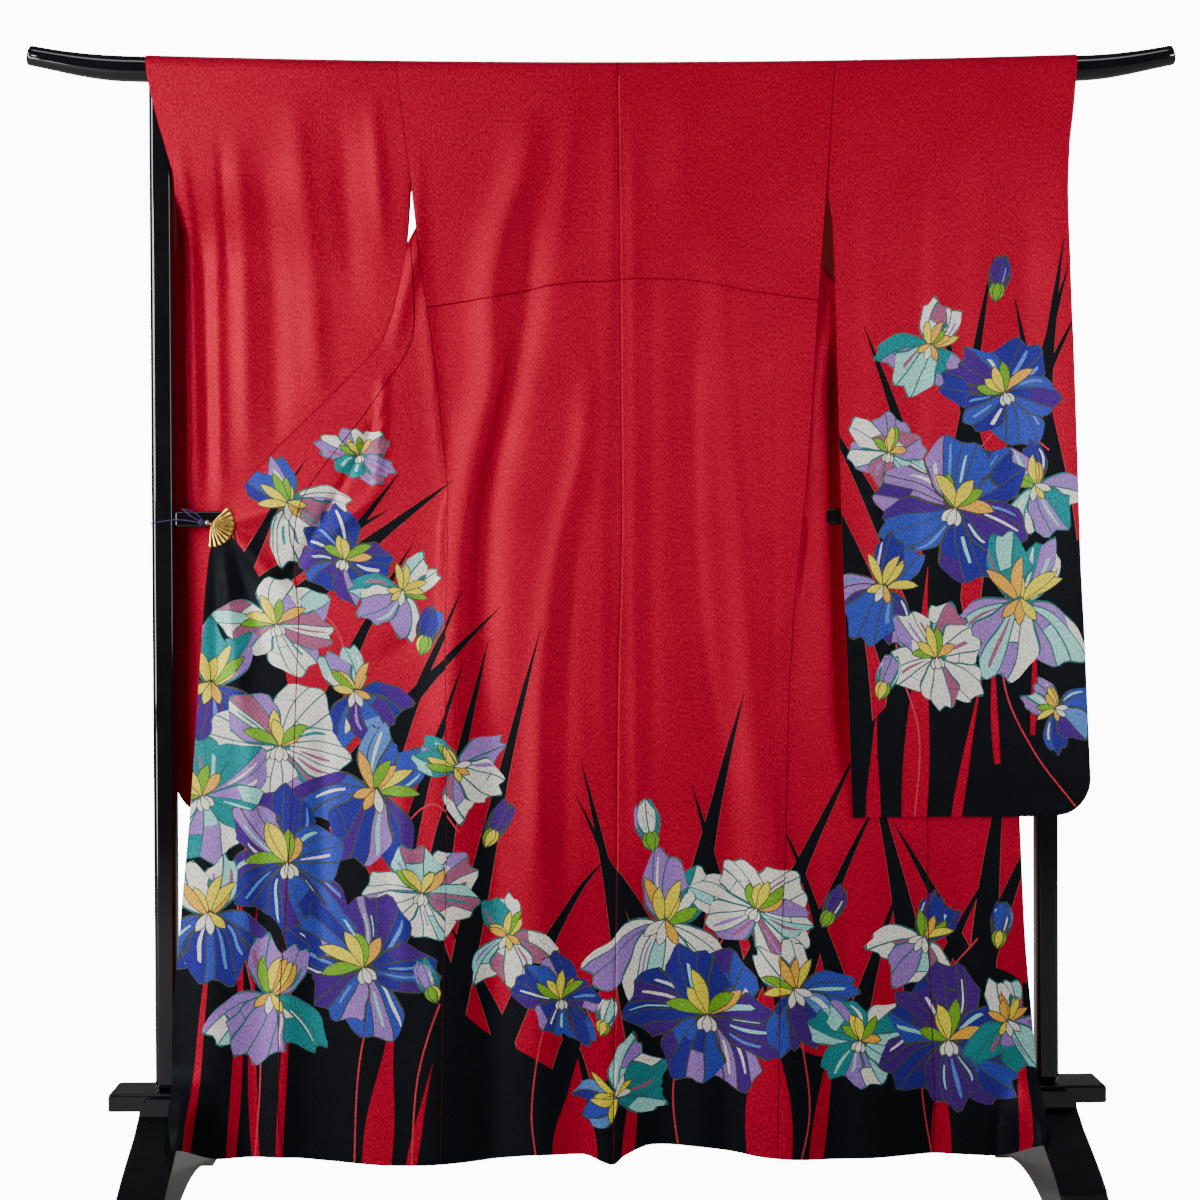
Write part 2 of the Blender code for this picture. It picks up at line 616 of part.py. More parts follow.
def clip_cloth_y(reach):
    """The depths of the cloth that the clip holds: 0 the nearest to the shown side, -1 the farthest."""
    near, steps = rail_top_z(FAN_PIVOT[0]) - FAN_PIVOT[1] - FAN_RADIUS, 12
    depths = []
    for row in range(2 * steps):
        drop = near + FAN_RADIUS * row / steps
        for column in range(steps + 1):
            x = FAN_PIVOT[0] + FAN_RADIUS * column / steps
            away = math.hypot(x - FAN_PIVOT[0], drop - near - FAN_RADIUS)
            if -x <= read(FREE_EDGE["left"], drop) and away < FAN_RADIUS:
                depths.append(shown_y(x, drop) + ply_offset(drop, 1))
    return sorted(depths)[reach]


def make_ball(name, centre, radius, colour):
    mesh = bpy.data.meshes.new(name)
    bm = bmesh.new()
    bmesh.ops.create_uvsphere(bm, u_segments=10, v_segments=6, radius=radius)
    bm.to_mesh(mesh)
    bm.free()
    place_object(name, mesh, colour).location = centre


def make_clip():
    gold = material("gold_metal", (0.72, 0.47, 0.13), 0.25, 1)
    silver = material("silver_metal", (0.75, 0.75, 0.78), 0.2, 1)
    violet = material("violet_cord", (0.10, 0.03, 0.28), 0.7)
    make_fan_clip(gold)
    jaw_y = clip_cloth_y(-1) + WALL / 2 + FIT_GAP + JAW_SIZE[1] / 2
    box("clip_jaw", JAW_SIZE, (-0.545, jaw_y, 0.962), 0.0004, gold, 1)
    make_ball("clip_bead", (-0.5655, CLIP_Y, 0.9737), BEAD_RADIUS, silver)
    make_ball("tie_knot", (-0.5720, CLIP_Y, 0.9737), KNOT_RADIUS, violet)
    tube("tie_cord", smooth_route(CORD_ROUTE, CORD_STEP), CORD_RADIUS, violet)
    tube("tie_tail", smooth_route(TAIL_ROUTE, CORD_STEP), CORD_RADIUS, violet)


for old in list(bpy.data.objects):
    bpy.data.objects.remove(old, do_unlink=True)
parts = bpy.data.collections.new("Furisode on a kimono rack")
cutters = bpy.data.collections.new("Cutters")
bpy.context.scene.collection.children.link(parts)
bpy.context.scene.collection.children.link(cutters)
make_rack()
make_garment()
make_clip()
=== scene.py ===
"""A furisode kimono on a lacquered kimono rack, dressed for its picture. Metres, +Z up, the shown side at -Y."""
import math
import random

import bmesh
import bpy
from mathutils import Matrix, Vector
from mathutils.geometry import delaunay_2d_cdt


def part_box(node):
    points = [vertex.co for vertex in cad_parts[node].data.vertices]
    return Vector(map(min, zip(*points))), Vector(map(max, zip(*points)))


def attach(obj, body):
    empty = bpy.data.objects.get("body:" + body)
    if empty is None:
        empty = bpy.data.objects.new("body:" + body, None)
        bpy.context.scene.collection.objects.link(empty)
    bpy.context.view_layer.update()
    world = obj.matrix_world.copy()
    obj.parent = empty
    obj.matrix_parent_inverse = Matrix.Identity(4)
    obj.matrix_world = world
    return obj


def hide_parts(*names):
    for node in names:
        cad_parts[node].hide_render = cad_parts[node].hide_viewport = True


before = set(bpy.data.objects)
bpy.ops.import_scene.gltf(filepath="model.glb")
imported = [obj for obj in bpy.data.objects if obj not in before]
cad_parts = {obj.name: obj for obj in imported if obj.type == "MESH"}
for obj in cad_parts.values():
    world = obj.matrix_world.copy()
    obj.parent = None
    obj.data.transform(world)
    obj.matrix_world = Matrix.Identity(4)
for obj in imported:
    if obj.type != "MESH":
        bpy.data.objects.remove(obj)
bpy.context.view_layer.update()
studio = bpy.context.scene

# Camera
# The picture is taken from 3.4 m, nearly square to the garment's back, with the lens at the height of its middle
# and turned a little to the right.
camera_data = bpy.data.cameras.new("Camera")
camera_data.sensor_width = 36.0
camera_data.lens = 70.55
camera = bpy.data.objects.new("Camera", camera_data)
studio.collection.objects.link(camera)
camera.location = (-0.0789, -3.3645, 0.9024)
camera.rotation_euler = (math.radians(90 - 0.703), math.radians(0.281), math.radians(-1.191))
studio.camera = camera

# Tie cord
# A thin braided silk cord ties the clip to the rack's post: from the knot across the post's front, round behind
# it, over the middle rail and back to the knot. A short tail is tucked up beside it.
CORD_RADIUS = 0.0008
CORD_STEP = 0.0042
CORD_ROUTE = [
    (-0.5757, -0.0215, 0.9732), (-0.590, -0.0205, 0.9765), (-0.612, -0.0183, 0.9780), (-0.632, -0.0177, 0.9755),
    (-0.6445, -0.0160, 0.9735), (-0.6475, -0.0085, 0.9728), (-0.6475, 0.0085, 0.9735), (-0.6445, 0.0160, 0.9750),
    (-0.632, 0.0178, 0.9785), (-0.616, 0.0176, 0.9860), (-0.6075, 0.0130, 0.9925), (-0.6050, 0.0020, 0.9940),
    (-0.6010, -0.0110, 0.9925), (-0.5930, -0.0190, 0.9865), (-0.5830, -0.0213, 0.9800), (-0.5764, -0.0215, 0.9762),
]
TAIL_ROUTE = [
    (-0.5728, -0.0222, 0.9770), (-0.5790, -0.0235, 0.9850), (-0.5900, -0.0240, 0.9910), (-0.6010, -0.0235, 0.9930),
]


def smooth_route(route, step):
    """Points at even steps along a smooth curve through the route's own points."""
    points = [Vector(p) for p in route]
    points = [2 * points[0] - points[1], *points, 2 * points[-1] - points[-2]]
    dense = []
    for k in range(1, len(points) - 2):
        before, start, end, after = points[k - 1:k + 3]
        for part in range(12):
            t = part / 12
            dense.append(0.5 * (2 * start + (end - before) * t + (2 * before - 5 * start + 4 * end - after) * t**2
                                + (3 * start - before - 3 * end + after) * t**3))
    dense.append(points[-2])
    length = sum((b - a).length for a, b in zip(dense, dense[1:]))
    count = max(2, round(length / step))
    even, walked, k = [dense[0]], 0.0, 0
    for number in range(1, count):
        target = length * number / count
        while walked + (dense[k + 1] - dense[k]).length < target:
            walked += (dense[k + 1] - dense[k]).length
            k += 1
        even.append(dense[k].lerp(dense[k + 1], (target - walked) / (dense[k + 1] - dense[k]).length))
    return even + [dense[-1]]


def set_inputs(node, **values):
    """Gives a node its plain values: a name in small letters is a setting, any other one an input."""
    for name, value in values.items():
        if name.islower():
            setattr(node, name, value)
        else:
            node.inputs[name.replace("_", " ")].default_value = value
    return node


def add_node(nodes, kind, **values):
    return set_inputs(nodes.new(f"ShaderNode{kind}"), **values)


def colour_ramp(nodes, *stops):
    """A ramp between two colours, each given with its position."""
    made = nodes.new("ShaderNodeValToRGB")
    for element, (position, colour) in zip(made.color_ramp.elements, stops):
        element.position, element.color = position, (*colour, 1)
    return made


def join(links, *pairs):
    """Makes links, each given as node, output, node, input."""
    for source, given, target, taken in pairs:
        links.new(source.outputs[given], target.inputs[taken])


def principled(name, colour, roughness, metallic=0.0):
    """A material whose one shader takes these plain values. Returns it with its nodes, links and shader."""
    made = bpy.data.materials.new(name)
    made.use_nodes = True
    shader = made.node_tree.nodes["Principled BSDF"]
    set_inputs(shader, Base_Color=(*colour, 1), Roughness=roughness, Metallic=metallic)
    made.diffuse_color = (*colour, 1)
    return made, made.node_tree.nodes, made.node_tree.links, shader


def link_object(name, data, *finishes):
    obj = bpy.data.objects.new(name, data)
    studio.collection.objects.link(obj)
    for finish in finishes:
        data.materials.append(finish)
    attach(obj, "root")
    return obj


# Braid: strands that cross at a slant, in two violets
braid, nodes, links, shader = principled("violet braid", (0.10, 0.03, 0.28), 0.7)
place = nodes.new("ShaderNodeTexCoord")
strands = add_node(nodes, "TexWave", wave_type="BANDS", bands_direction="DIAGONAL", Scale=420, Distortion=3)
shades = colour_ramp(nodes, (0, (0.012, 0.003, 0.055)), (1, (0.055, 0.014, 0.20)))
relief = add_node(nodes, "Bump", Strength=0.6, Distance=0.0002)
join(links, (place, "Object", strands, "Vector"), (strands, "Fac", shades, "Fac"),
     (shades, "Color", shader, "Base Color"), (strands, "Fac", relief, "Height"),
     (relief, "Normal", shader, "Normal"))
set_inputs(shader, Sheen_Weight=0.3)


def make_cord(name, route, node):
    line = bpy.data.curves.new(name, "CURVE")
    line.dimensions = "3D"
    line.bevel_depth = CORD_RADIUS
    line.bevel_resolution = 3
    line.use_fill_caps = True
    points = smooth_route(route, CORD_STEP / 2)
    spline = line.splines.new("POLY")
    spline.points.add(len(points) - 1)
    for point, place in zip(spline.points, points):
        point.co = (*place, 1)
    cord = link_object(name, line, braid)
    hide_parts(node)


make_cord("tie_cord_braid", CORD_ROUTE, "tie_cord")
make_cord("tie_tail_braid", TAIL_ROUTE, "tie_tail")

# Rack
# A kimono rack of wood, sanded and finished with many coats of black lacquer: two arched feet joined by a plank,
# two square posts, a thin middle rail and a round top rail whose ends turn up.
RAIL_HALF_LENGTH = 0.817
RAIL_RADIUS = 0.018
RAIL_TIP_RADIUS = 0.014
RAIL_AXIS_Z = 1.609
RAIL_SAG = 0.010
RAIL_SAG_REACH = 0.66
RAIL_BAR_REACH = 0.68
RAIL_TIP_LIFT = 0.0147
RAIL_RINGS = 110
RAIL_SIDES = 40
# Each end of the top rail is domed: distance from its tip, share of the radius
RAIL_DOME = [(0.0, 0.80), (0.0006, 0.90), (0.0018, 0.97), (0.0035, 1.0)]
POST_X = 0.63
POST_WIDTH = 0.032
MIDDLE_RAIL_Z = 0.979
MIDDLE_RAIL_HEIGHT = 0.023
MIDDLE_RAIL_DEPTH = 0.021
PLANK_HALF_LENGTH = 0.708
PLANK_HALF_DEPTH = 0.0425
PLANK_BOTTOM = 0.142
PLANK_TOP = 0.167
FOOT_WIDTH = 0.065
FOOT_CROWN_Z = 0.162
FOOT_SHOULDER = 0.0215
FOOT_ARCH_HALF = 0.215
FOOT_ARCH_HEIGHT = 0.0375
# The top of a foot's leg from the crown out to the toe: distance from the rack's plane, height
LEG_TOP = [(0.0553, 0.162), (0.055, 0.139), (0.100, 0.118), (0.150, 0.1015), (0.200, 0.0835), (0.234, 0.068),
           (0.255, 0.049), (0.267, 0.028), (0.272, 0.012), (0.270, 0.0)]
# How round the edges of the rack's timbers are, and the hair's breadth between two timbers that meet
POST_ROUNDING = 0.0075
MIDDLE_RAIL_ROUNDING = 0.004
PLANK_ROUNDING = 0.0035
FOOT_ROUNDING = 0.0020
JOINT_GAP = 0.0003
SIGN = {"left": -1, "right": 1}

lacquer, nodes, links, shader = principled("black lacquer", (0.004, 0.004, 0.006), 0.1)
place = nodes.new("ShaderNodeTexCoord")
ripple = add_node(nodes, "TexNoise", Scale=9, Detail=1)
dust = add_node(nodes, "TexNoise", Scale=16, Detail=2)
polish = add_node(nodes, "MapRange", From_Min=0.35, From_Max=0.75, To_Min=0.05, To_Max=0.12)
depth = colour_ramp(nodes, (0, (0.0022, 0.0022, 0.0032)), (1, (0.009, 0.009, 0.011)))
relief = add_node(nodes, "Bump", Strength=0.10, Distance=0.002)
join(links, (place, "Object", ripple, "Vector"), (place, "Object", dust, "Vector"), (dust, "Fac", polish, "Value"),
     (dust, "Fac", depth, "Fac"), (polish, "Result", shader, "Roughness"), (depth, "Color", shader, "Base Color"),
     (ripple, "Fac", relief, "Height"), (relief, "Normal", shader, "Normal"))
set_inputs(shader, Specular_IOR_Level=0.5, Coat_Weight=0.7, Coat_Roughness=0.03)


def ramp(value, start, end):
    """0 up to start, 1 from end, straight between them."""
    return min(1.0, max(0.0, (value - start) / (end - start)))


def ease(value, start, end):
    """The same with soft ends."""
    t = ramp(value, start, end)
    return t * t * (3 - 2 * t)


def mix(a, b, t):
    return a + (b - a) * t


def rail_axis_z(x):
    """Height of the top rail's axis: a shallow sag with upturned tips."""
    lift = ease(abs(x), RAIL_BAR_REACH, 2 * RAIL_HALF_LENGTH - RAIL_BAR_REACH)
    return RAIL_AXIS_Z + RAIL_SAG * (x / RAIL_SAG_REACH) ** 2 + 2 * RAIL_TIP_LIFT * lift


def mesh_from(name, bm):
    mesh = bpy.data.meshes.new(name)
    bm.to_mesh(mesh)
    bm.free()
    return mesh


def finish_rack_piece(name, bm, node, rounding=0.0, segments=4):
    """Rounded edges where the piece has them, the rack's lacquer, and the solid that it stands for."""
    obj = link_object(name, mesh_from(name, bm), lacquer)
    if rounding:
        edge = obj.modifiers.new("Rounded edges", "BEVEL")
        edge.width = rounding
        edge.segments = segments
        edge.limit_method = "ANGLE"
        edge.angle_limit = math.radians(35)
        edge.harden_normals = True
    for polygon in obj.data.polygons:
        polygon.use_smooth = True
    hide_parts(node)


def turned_rail():
    """The round top rail: rings set along its sagging axis and bridged, with domed ends."""
    bm = bmesh.new()
    ends = [(RAIL_HALF_LENGTH - inset, share) for inset, share in RAIL_DOME]
    inner = ends[-1][0]
    stations = [(-x, share) for x, share in ends]
    stations += [(mix(-inner, inner, k / RAIL_RINGS), 1.0) for k in range(1, RAIL_RINGS)]
    stations += list(reversed(ends))
    rings = []
    for x, share in stations:
        taper = ease(abs(x), RAIL_BAR_REACH, RAIL_HALF_LENGTH)
        radius = RAIL_RADIUS * mix(1, RAIL_TIP_RADIUS / RAIL_RADIUS, taper) * share
        slope = math.atan((rail_axis_z(x + 0.01) - rail_axis_z(x - 0.01)) / 0.02)
        turn = Matrix.Translation((x, 0, rail_axis_z(x))) @ Matrix.Rotation(math.pi / 2 - slope, 4, "Y")
        made = bmesh.ops.create_circle(bm, segments=RAIL_SIDES, radius=radius, matrix=turn)
        rings.append(list({edge for vert in made["verts"] for edge in vert.link_edges}))
    for before, after in zip(rings, rings[1:]):
        bmesh.ops.bridge_loops(bm, edges=before + after)
    bmesh.ops.edgenet_fill(bm, edges=rings[0])
    bmesh.ops.edgenet_fill(bm, edges=rings[-1])
    bmesh.ops.recalc_face_normals(bm, faces=bm.faces)
    finish_rack_piece("top_rail_round", bm, "top_rail")


def new_block(size, centre):
    bm = bmesh.new()
    bmesh.ops.create_cube(bm, size=1)
    bmesh.ops.scale(bm, vec=size, verts=bm.verts)
    bmesh.ops.translate(bm, vec=centre, verts=bm.verts)
    return bm


def squared_timber(name, node, size, centre, rounding):
    """A planed timber with rounded edges."""
    finish_rack_piece(name, new_block(size, centre), node, rounding, 5)


def sawn_foot(side):
    """An arched foot: its outline is one flat face across the rack, pushed out to the foot's width.

    The crown that stands in front of the plank has round shoulders.
    """
    top = []
    for (y0, z0), (y1, z1) in zip(LEG_TOP[1:], LEG_TOP[2:]):
        top += [(mix(y0, y1, k / 3), mix(z0, z1, k / 3)) for k in range(3)]
    inner = PLANK_HALF_DEPTH + JOINT_GAP
    rise = [mix(PLANK_BOTTOM - JOINT_GAP, FOOT_CROWN_Z, math.sin(math.pi / 2 * k / 6)) for k in range(7)]
    half = [(inner, z) for z in rise] + [(LEG_TOP[0][0], z) for z in reversed(rise[1:])] + top + [LEG_TOP[-1]]
    arch = [(mix(FOOT_ARCH_HALF, -FOOT_ARCH_HALF, k / 36), FOOT_ARCH_HEIGHT * (1 - (1 - k / 18) ** 2))
            for k in range(37)]
    outline = half + arch + [(-y, z) for y, z in reversed(half)]
    bm = bmesh.new()
    x = SIGN[side] * POST_X - FOOT_WIDTH / 2
    face = bm.faces.new([bm.verts.new((x, y, z)) for y, z in outline])
    pushed = bmesh.ops.extrude_face_region(bm, geom=[face])
    bmesh.ops.translate(bm, vec=(FOOT_WIDTH, 0, 0),
                        verts=[item for item in pushed["geom"] if isinstance(item, bmesh.types.BMVert)])
    for vert in bm.verts:
        above = vert.co.z - rise[0]
        if above > 0.0001:
            pulled = FOOT_SHOULDER - math.sqrt(max(0.0, FOOT_SHOULDER**2 - above**2))
            vert.co.x -= math.copysign(pulled, vert.co.x - SIGN[side] * POST_X)
    bmesh.ops.recalc_face_normals(bm, faces=bm.faces)
    finish_rack_piece(f"foot_{side}_arched", bm, f"foot_{side}", FOOT_ROUNDING, 3)


turned_rail()
for side in SIGN:
    x = SIGN[side] * POST_X
    low, high = PLANK_TOP + JOINT_GAP, rail_axis_z(x) - RAIL_RADIUS / 2
    squared_timber(f"post_{side}_square", f"post_{side}", (POST_WIDTH, POST_WIDTH, high - low),
                   (x, 0, (high + low) / 2), POST_ROUNDING)
    sawn_foot(side)
squared_timber("middle_rail_bar", "middle_rail", (2 * POST_X - POST_WIDTH, MIDDLE_RAIL_DEPTH, MIDDLE_RAIL_HEIGHT),
               (0, 0, MIDDLE_RAIL_Z), MIDDLE_RAIL_ROUNDING)
squared_timber("tie_plank_board", "tie_plank",
               (2 * PLANK_HALF_LENGTH, 2 * PLANK_HALF_DEPTH, PLANK_TOP - PLANK_BOTTOM),
               (0, 0, (PLANK_TOP + PLANK_BOTTOM) / 2), PLANK_ROUNDING)

# Crepe silk
# Red silk crepe with a satin face. The picture on it is dyed in one go across all panels, in the colours of the
# "print" attribute. Both sides show the fine grain of the twisted threads.


def linear(*rgb):
    """Colours are given as they look on screen, 0 to 255."""
    return tuple((c / 255 / 12.92) if c / 255 <= 0.04045 else ((c / 255 + 0.055) / 1.055) ** 2.4 for c in rgb)


crepe = bpy.data.node_groups.new("Crepe grain", "ShaderNodeTree")
for name, kind, default in (("Colour", "NodeSocketColor", (0.5, 0.0, 0.02, 1)), ("Grain", "NodeSocketFloat", 0.3)):
    socket = crepe.interface.new_socket(name=name, in_out="INPUT", socket_type=kind)
    socket.default_value = default
for name, kind in (("Colour", "NodeSocketColor"), ("Roughness", "NodeSocketFloat"), ("Normal", "NodeSocketVector")):
    crepe.interface.new_socket(name=name, in_out="OUTPUT", socket_type=kind)
nodes, links = crepe.nodes, crepe.links
taken, given = nodes.new("NodeGroupInput"), nodes.new("NodeGroupOutput")
flat = add_node(nodes, "UVMap", uv_map="cloth")
grain = add_node(nodes, "TexNoise", Scale=430, Detail=3, Roughness=0.65)
stretch = add_node(nodes, "Mapping", Scale=(1.0, 0.55, 1.0))
cloud = add_node(nodes, "TexNoise", Scale=7, Detail=3)
shade, wide, gloss = [add_node(nodes, "MapRange", From_Min=0.3, From_Max=0.7, To_Min=low, To_Max=high)
                      for low, high in ((0.54, 1.46), (0.93, 1.05), (0.38, 0.60))]
both = add_node(nodes, "Math", operation="MULTIPLY")
tinted = add_node(nodes, "VectorMath", operation="SCALE")
relief = add_node(nodes, "Bump", Distance=0.0008)
join(links, (flat, "UV", stretch, "Vector"), (stretch, "Vector", grain, "Vector"), (flat, "UV", cloud, "Vector"),
     (grain, "Fac", shade, "Value"), (cloud, "Fac", wide, "Value"), (shade, "Result", both, 0),
     (wide, "Result", both, 1), (taken, "Colour", tinted, 0), (both, "Value", tinted, "Scale"),
     (tinted, "Vector", given, "Colour"), (grain, "Fac", gloss, "Value"), (gloss, "Result", given, "Roughness"),
     (taken, "Grain", relief, "Strength"), (grain, "Fac", relief, "Height"), (relief, "Normal", given, "Normal"))

RED = linear(182, 6, 46)


def crepe_silk(name, grain, printed):
    made, nodes, links, shader = principled(name, RED, 0.5, 0.42)
    crossing = nodes.new("ShaderNodeGroup")
    crossing.node_tree = crepe
    crossing.inputs["Grain"].default_value = grain
    if printed:
        dyed = add_node(nodes, "Attribute", attribute_name="print")
        join(links, (dyed, "Color", crossing, "Colour"))
    else:
        # The inner side is plain red. It also glows a dull dark red, a painted glow that keeps its shaded places,
        # such as the armhole's slit, from showing black
        crossing.inputs["Colour"].default_value = (*linear(158, 6, 34), 1)
        set_inputs(shader, Emission_Color=(0.050, 0.008, 0.006, 1), Emission_Strength=1.0)
    join(links, (crossing, "Colour", shader, "Base Color"), (crossing, "Roughness", shader, "Roughness"),
         (crossing, "Normal", shader, "Normal"))
    set_inputs(shader, Specular_IOR_Level=0.10)
    return made


silk_face = crepe_silk("red silk, printed face", 1.0, True)
silk_inside = crepe_silk("red silk, inside", 0.6, False)

# The dyer's picture
# Open blooms, lilies, buds and reed blades that grow out of a black ground at the hem and at the right sleeve's
# bottom. Each area of dye is a flat shape: first figure X, second the drop below the top of the rail.
# The seam dye is painted shade: a dark red line along sewn edges stands in for the shadow in a seam's groove. The
# tuck's stitches are dyed with it too.
DYES = {
    "red": RED, "black": linear(17, 20, 25), "line": linear(74, 78, 66), "edge": linear(158, 78, 72),
    "stem": linear(206, 56, 72), "seam": linear(86, 4, 16), "blue": linear(56, 74, 176),
    "indigo": linear(46, 42, 140), "violet": linear(74, 34, 128), "aqua": linear(156, 222, 214),
    "teal": linear(30, 136, 140), "lilac": linear(158, 118, 196), "cream": linear(242, 236, 224),
    "mauve": linear(164, 92, 124), "yellow": linear(238, 218, 58), "lime": linear(118, 176, 44),
    "orange": linear(238, 176, 66), "sky": linear(92, 138, 206), "sea": linear(52, 112, 112),
}
# Each family: the dyes of its cells, the colour of its outlines, and the dyes of the slivers inside cells
FAMILIES = {
    "violet": (["indigo", "violet", "indigo", "blue", "violet", "indigo", "blue", "lilac"], "line",
               ["aqua", "cream", "sky"]),
    "white": (["cream", "lilac", "cream", "cream", "mauve", "cream", "aqua"], "sea", ["lilac", "teal", "mauve"]),
    "teal": (["teal", "lilac", "aqua", "cream", "teal", "lilac"], "sea", ["aqua", "cream", "mauve"]),
    "blue": (["blue", "indigo", "blue", "sky", "violet", "blue"], "line", ["cream", "aqua", "lilac"]),
}
# A blade's pale edge, a petal's rim and half the gap between two cells are this wide. Longer petals than FINE_REACH
# get more points along them
BLADE_EDGE = 0.0017
PETAL_RIM = 0.0021
CELL_GAP = 0.0010
DROP_EDGE = 0.0013
FINE_REACH = 0.055
STEM_HALF_WIDTH = 0.0012
# How much broader the black blades are than the width given for them
HEM_REED_BREADTH = 1.35
SLEEVE_REED_BREADTH = 1.3
hem_picture, sleeve_picture = [], []


def heading(angle):
    """A direction on the cloth: 0 to the right, 90 up."""
    return Vector((math.cos(angle), -math.sin(angle)))


def strip(middle):
    """The outline of a strip, from places along its middle, each with the way from there to its right edge."""
    return [here - across for here, across in middle] + [here + across for here, across in reversed(middle)]


def reed(picture, x, drop, length, width, lean, bend, dye="black"):
    """A long pointed blade, with a hair-thin edge where it stands on red."""
    for grow, colour in ((BLADE_EDGE, "edge"), (0.0, dye)) if dye == "black" else ((0.0, dye),):
        middle = []
        for k in range(15):
            t = k / 14
            angle = math.radians(90 - lean - bend * t * t)
            here = Vector((x, drop)) + heading(math.radians(90 - lean - bend * t / 2.2)) * length * t
            belly = 0.72 + 0.4 * math.sin(math.pi * min(1, t * 1.3 + 0.1))
            half = (width / 2) * (1 - t**2.2) * belly + grow * (1 - t)
            middle.append((here, heading(angle - math.pi / 2) * max(half, 0.0003)))
        picture.insert(0 if colour == "edge" else len(picture), (colour, strip(middle)))


def petal(picture, centre, reach, width, angle, bend, family, rng, frill=0.06, shape=None):
    """A broad petal as the dyer draws it: a wavy outline in the line's colour, then long cells that flow to its rim.

    Places on it are t, 0 at the heart to 1 at the rim, and s, -1 at one side to 1 at the other.
    """
    dyes, line, slivers = FAMILIES[family]
    waves, phase = rng.uniform(1.6, 2.8), rng.uniform(0, 6.28)
    count = 11 if reach > FINE_REACH else 8

    def half_at(t):
        swell = math.sin(math.pi / 2 * min(1.0, max(t, 0.001))) ** 0.9
        return width / 2 * swell * (1 + frill * math.sin(10 * t + phase))

    def spot(t, s):
        rim = math.sqrt(1 - 0.6 * s * s) + frill * math.sin(waves * math.pi * s + phase) * t
        offset = heading(angle + bend * t / 2) * reach * rim * t
        offset += heading(angle + bend * t - math.pi / 2) * half_at(t) * s
        return centre + (shape @ offset if shape else offset)

    def cell(dye, start, end, low, high, first, last):
        left, right, final = [], [], None
        parts = max(4, round((end - start) * count))
        for k in range(parts + 1):
            t = mix(start, end, k / parts)
            a, b = low(t) + first / half_at(t), high(t) - last / half_at(t)
            if (b - a) * half_at(t) > 0.0012:
                left.append(spot(t, a))
                right.append(spot(t, b))
                final = (t, a, b)
        if len(left) > 2:
            t, a, b = final
            picture.append((dye, left + [spot(t, mix(a, b, k / 3)) for k in (1, 2)] + right[::-1]))

    stations = [k / count for k in range(count + 1)]
    outline = [spot(t, -1) for t in stations] + [spot(1, -1 + 2 * k / 10) for k in range(1, 10)]
    picture.append((line, outline + [spot(t, 1) for t in reversed(stations[1:])]))
    cells = max(2, min(5, round(width / 0.023)))
    bases = [-1.0] + [-1 + 2 * (k + rng.uniform(-0.24, 0.24)) / cells for k in range(1, cells)] + [1.0]
    sway, main = rng.uniform(-0.2, 0.2), rng.choice(dyes)

    def vein(k):
        return lambda t: bases[k] + sway * math.sin(2.8 * t + 0.8 * k) * (1 - bases[k] ** 2)

    for k in range(cells):
        low, high = vein(k), vein(k + 1)
        first, last = CELL_GAP if k else PETAL_RIM, CELL_GAP if k < cells - 1 else PETAL_RIM
        start, end = rng.uniform(0.05, 0.12), 1 - 0.0022 / reach
        dye = main if rng.random() < 0.62 else rng.choice(dyes)
        if rng.random() < 0.2:
            cut = rng.uniform(0.42, 0.72)
            cell(dye, start, cut - CELL_GAP / reach, low, high, first, last)
            cell(rng.choice(dyes), cut + CELL_GAP / reach, end, low, high, first, last)
        else:
            cell(dye, start, end, low, high, first, last)
            if rng.random() < 0.45 and width / cells > 0.012:
                share = rng.uniform(0.3, 0.5)
                cell(rng.choice(slivers), rng.uniform(0.2, 0.4), rng.uniform(0.7, 0.92),
                     lambda t: mix(low(t), high(t), share),
                     lambda t: mix(low(t), high(t), share + 0.24 * math.sin(3.1 * t)), 0, 0)


def drop_shape(picture, centre, reach, width, angle, dye, bend=0.0):
    """A small rounded drop with an outline, for crests, stamens, buds and leaves."""
    for grow, colour in ((DROP_EDGE, "line"), (0.0, dye)):
        middle = []
        for k in range(8):
            t = k / 7
            half = width / 2 * math.sin(math.pi * t**1.3) ** 0.8 + grow if 0 < k < 7 else grow * 0.4
            here = centre + heading(angle + bend * t / 2) * (reach * t + grow * (2 * t - 1))
            middle.append((here, heading(angle + bend * t - math.pi / 2) * half))
        picture.append((colour, strip(middle)))


def open_bloom(picture, x, drop, reach, turn, family, seed, squash=0.85, second=None):
    """A wide open bloom seen a little from the side: three petals behind, three in front, and a heart of stamens."""
    rng = random.Random(seed)
    centre = Vector((x, drop))
    lean = Matrix.Rotation(math.radians(turn), 2)
    shape = lean @ Matrix(((1, 0), (0, squash))) @ lean.transposed()
    for shift, size, broad, kind in ((30, 1.0, 0.86, second or family), (90, 0.92, 0.74, family)):
        for k in range(3):
            angle = math.radians(turn + shift + 120 * k + rng.uniform(-9, 9))
            petal(picture, centre, reach * size * rng.uniform(0.9, 1.06), reach * broad * rng.uniform(0.92, 1.08),
                  angle, rng.uniform(-0.6, 0.6), kind, rng, rng.uniform(0.04, 0.08), shape)
    upright = 90 + rng.uniform(-35, 35)
    for spread, dye in ((-62, "orange"), (58, "lime"), (-30, "lime"), (28, "yellow"), (0, "yellow")):
        angle = math.radians(upright + spread + rng.uniform(-9, 9))
        drop_shape(picture, centre, reach * rng.uniform(0.34, 0.56), reach * 0.14, angle, dye, rng.uniform(-0.8, 0.8))
    for spread in (150, 205, 178):
        drop_shape(picture, centre, reach * 0.2, reach * 0.1, math.radians(upright + spread), "cream")


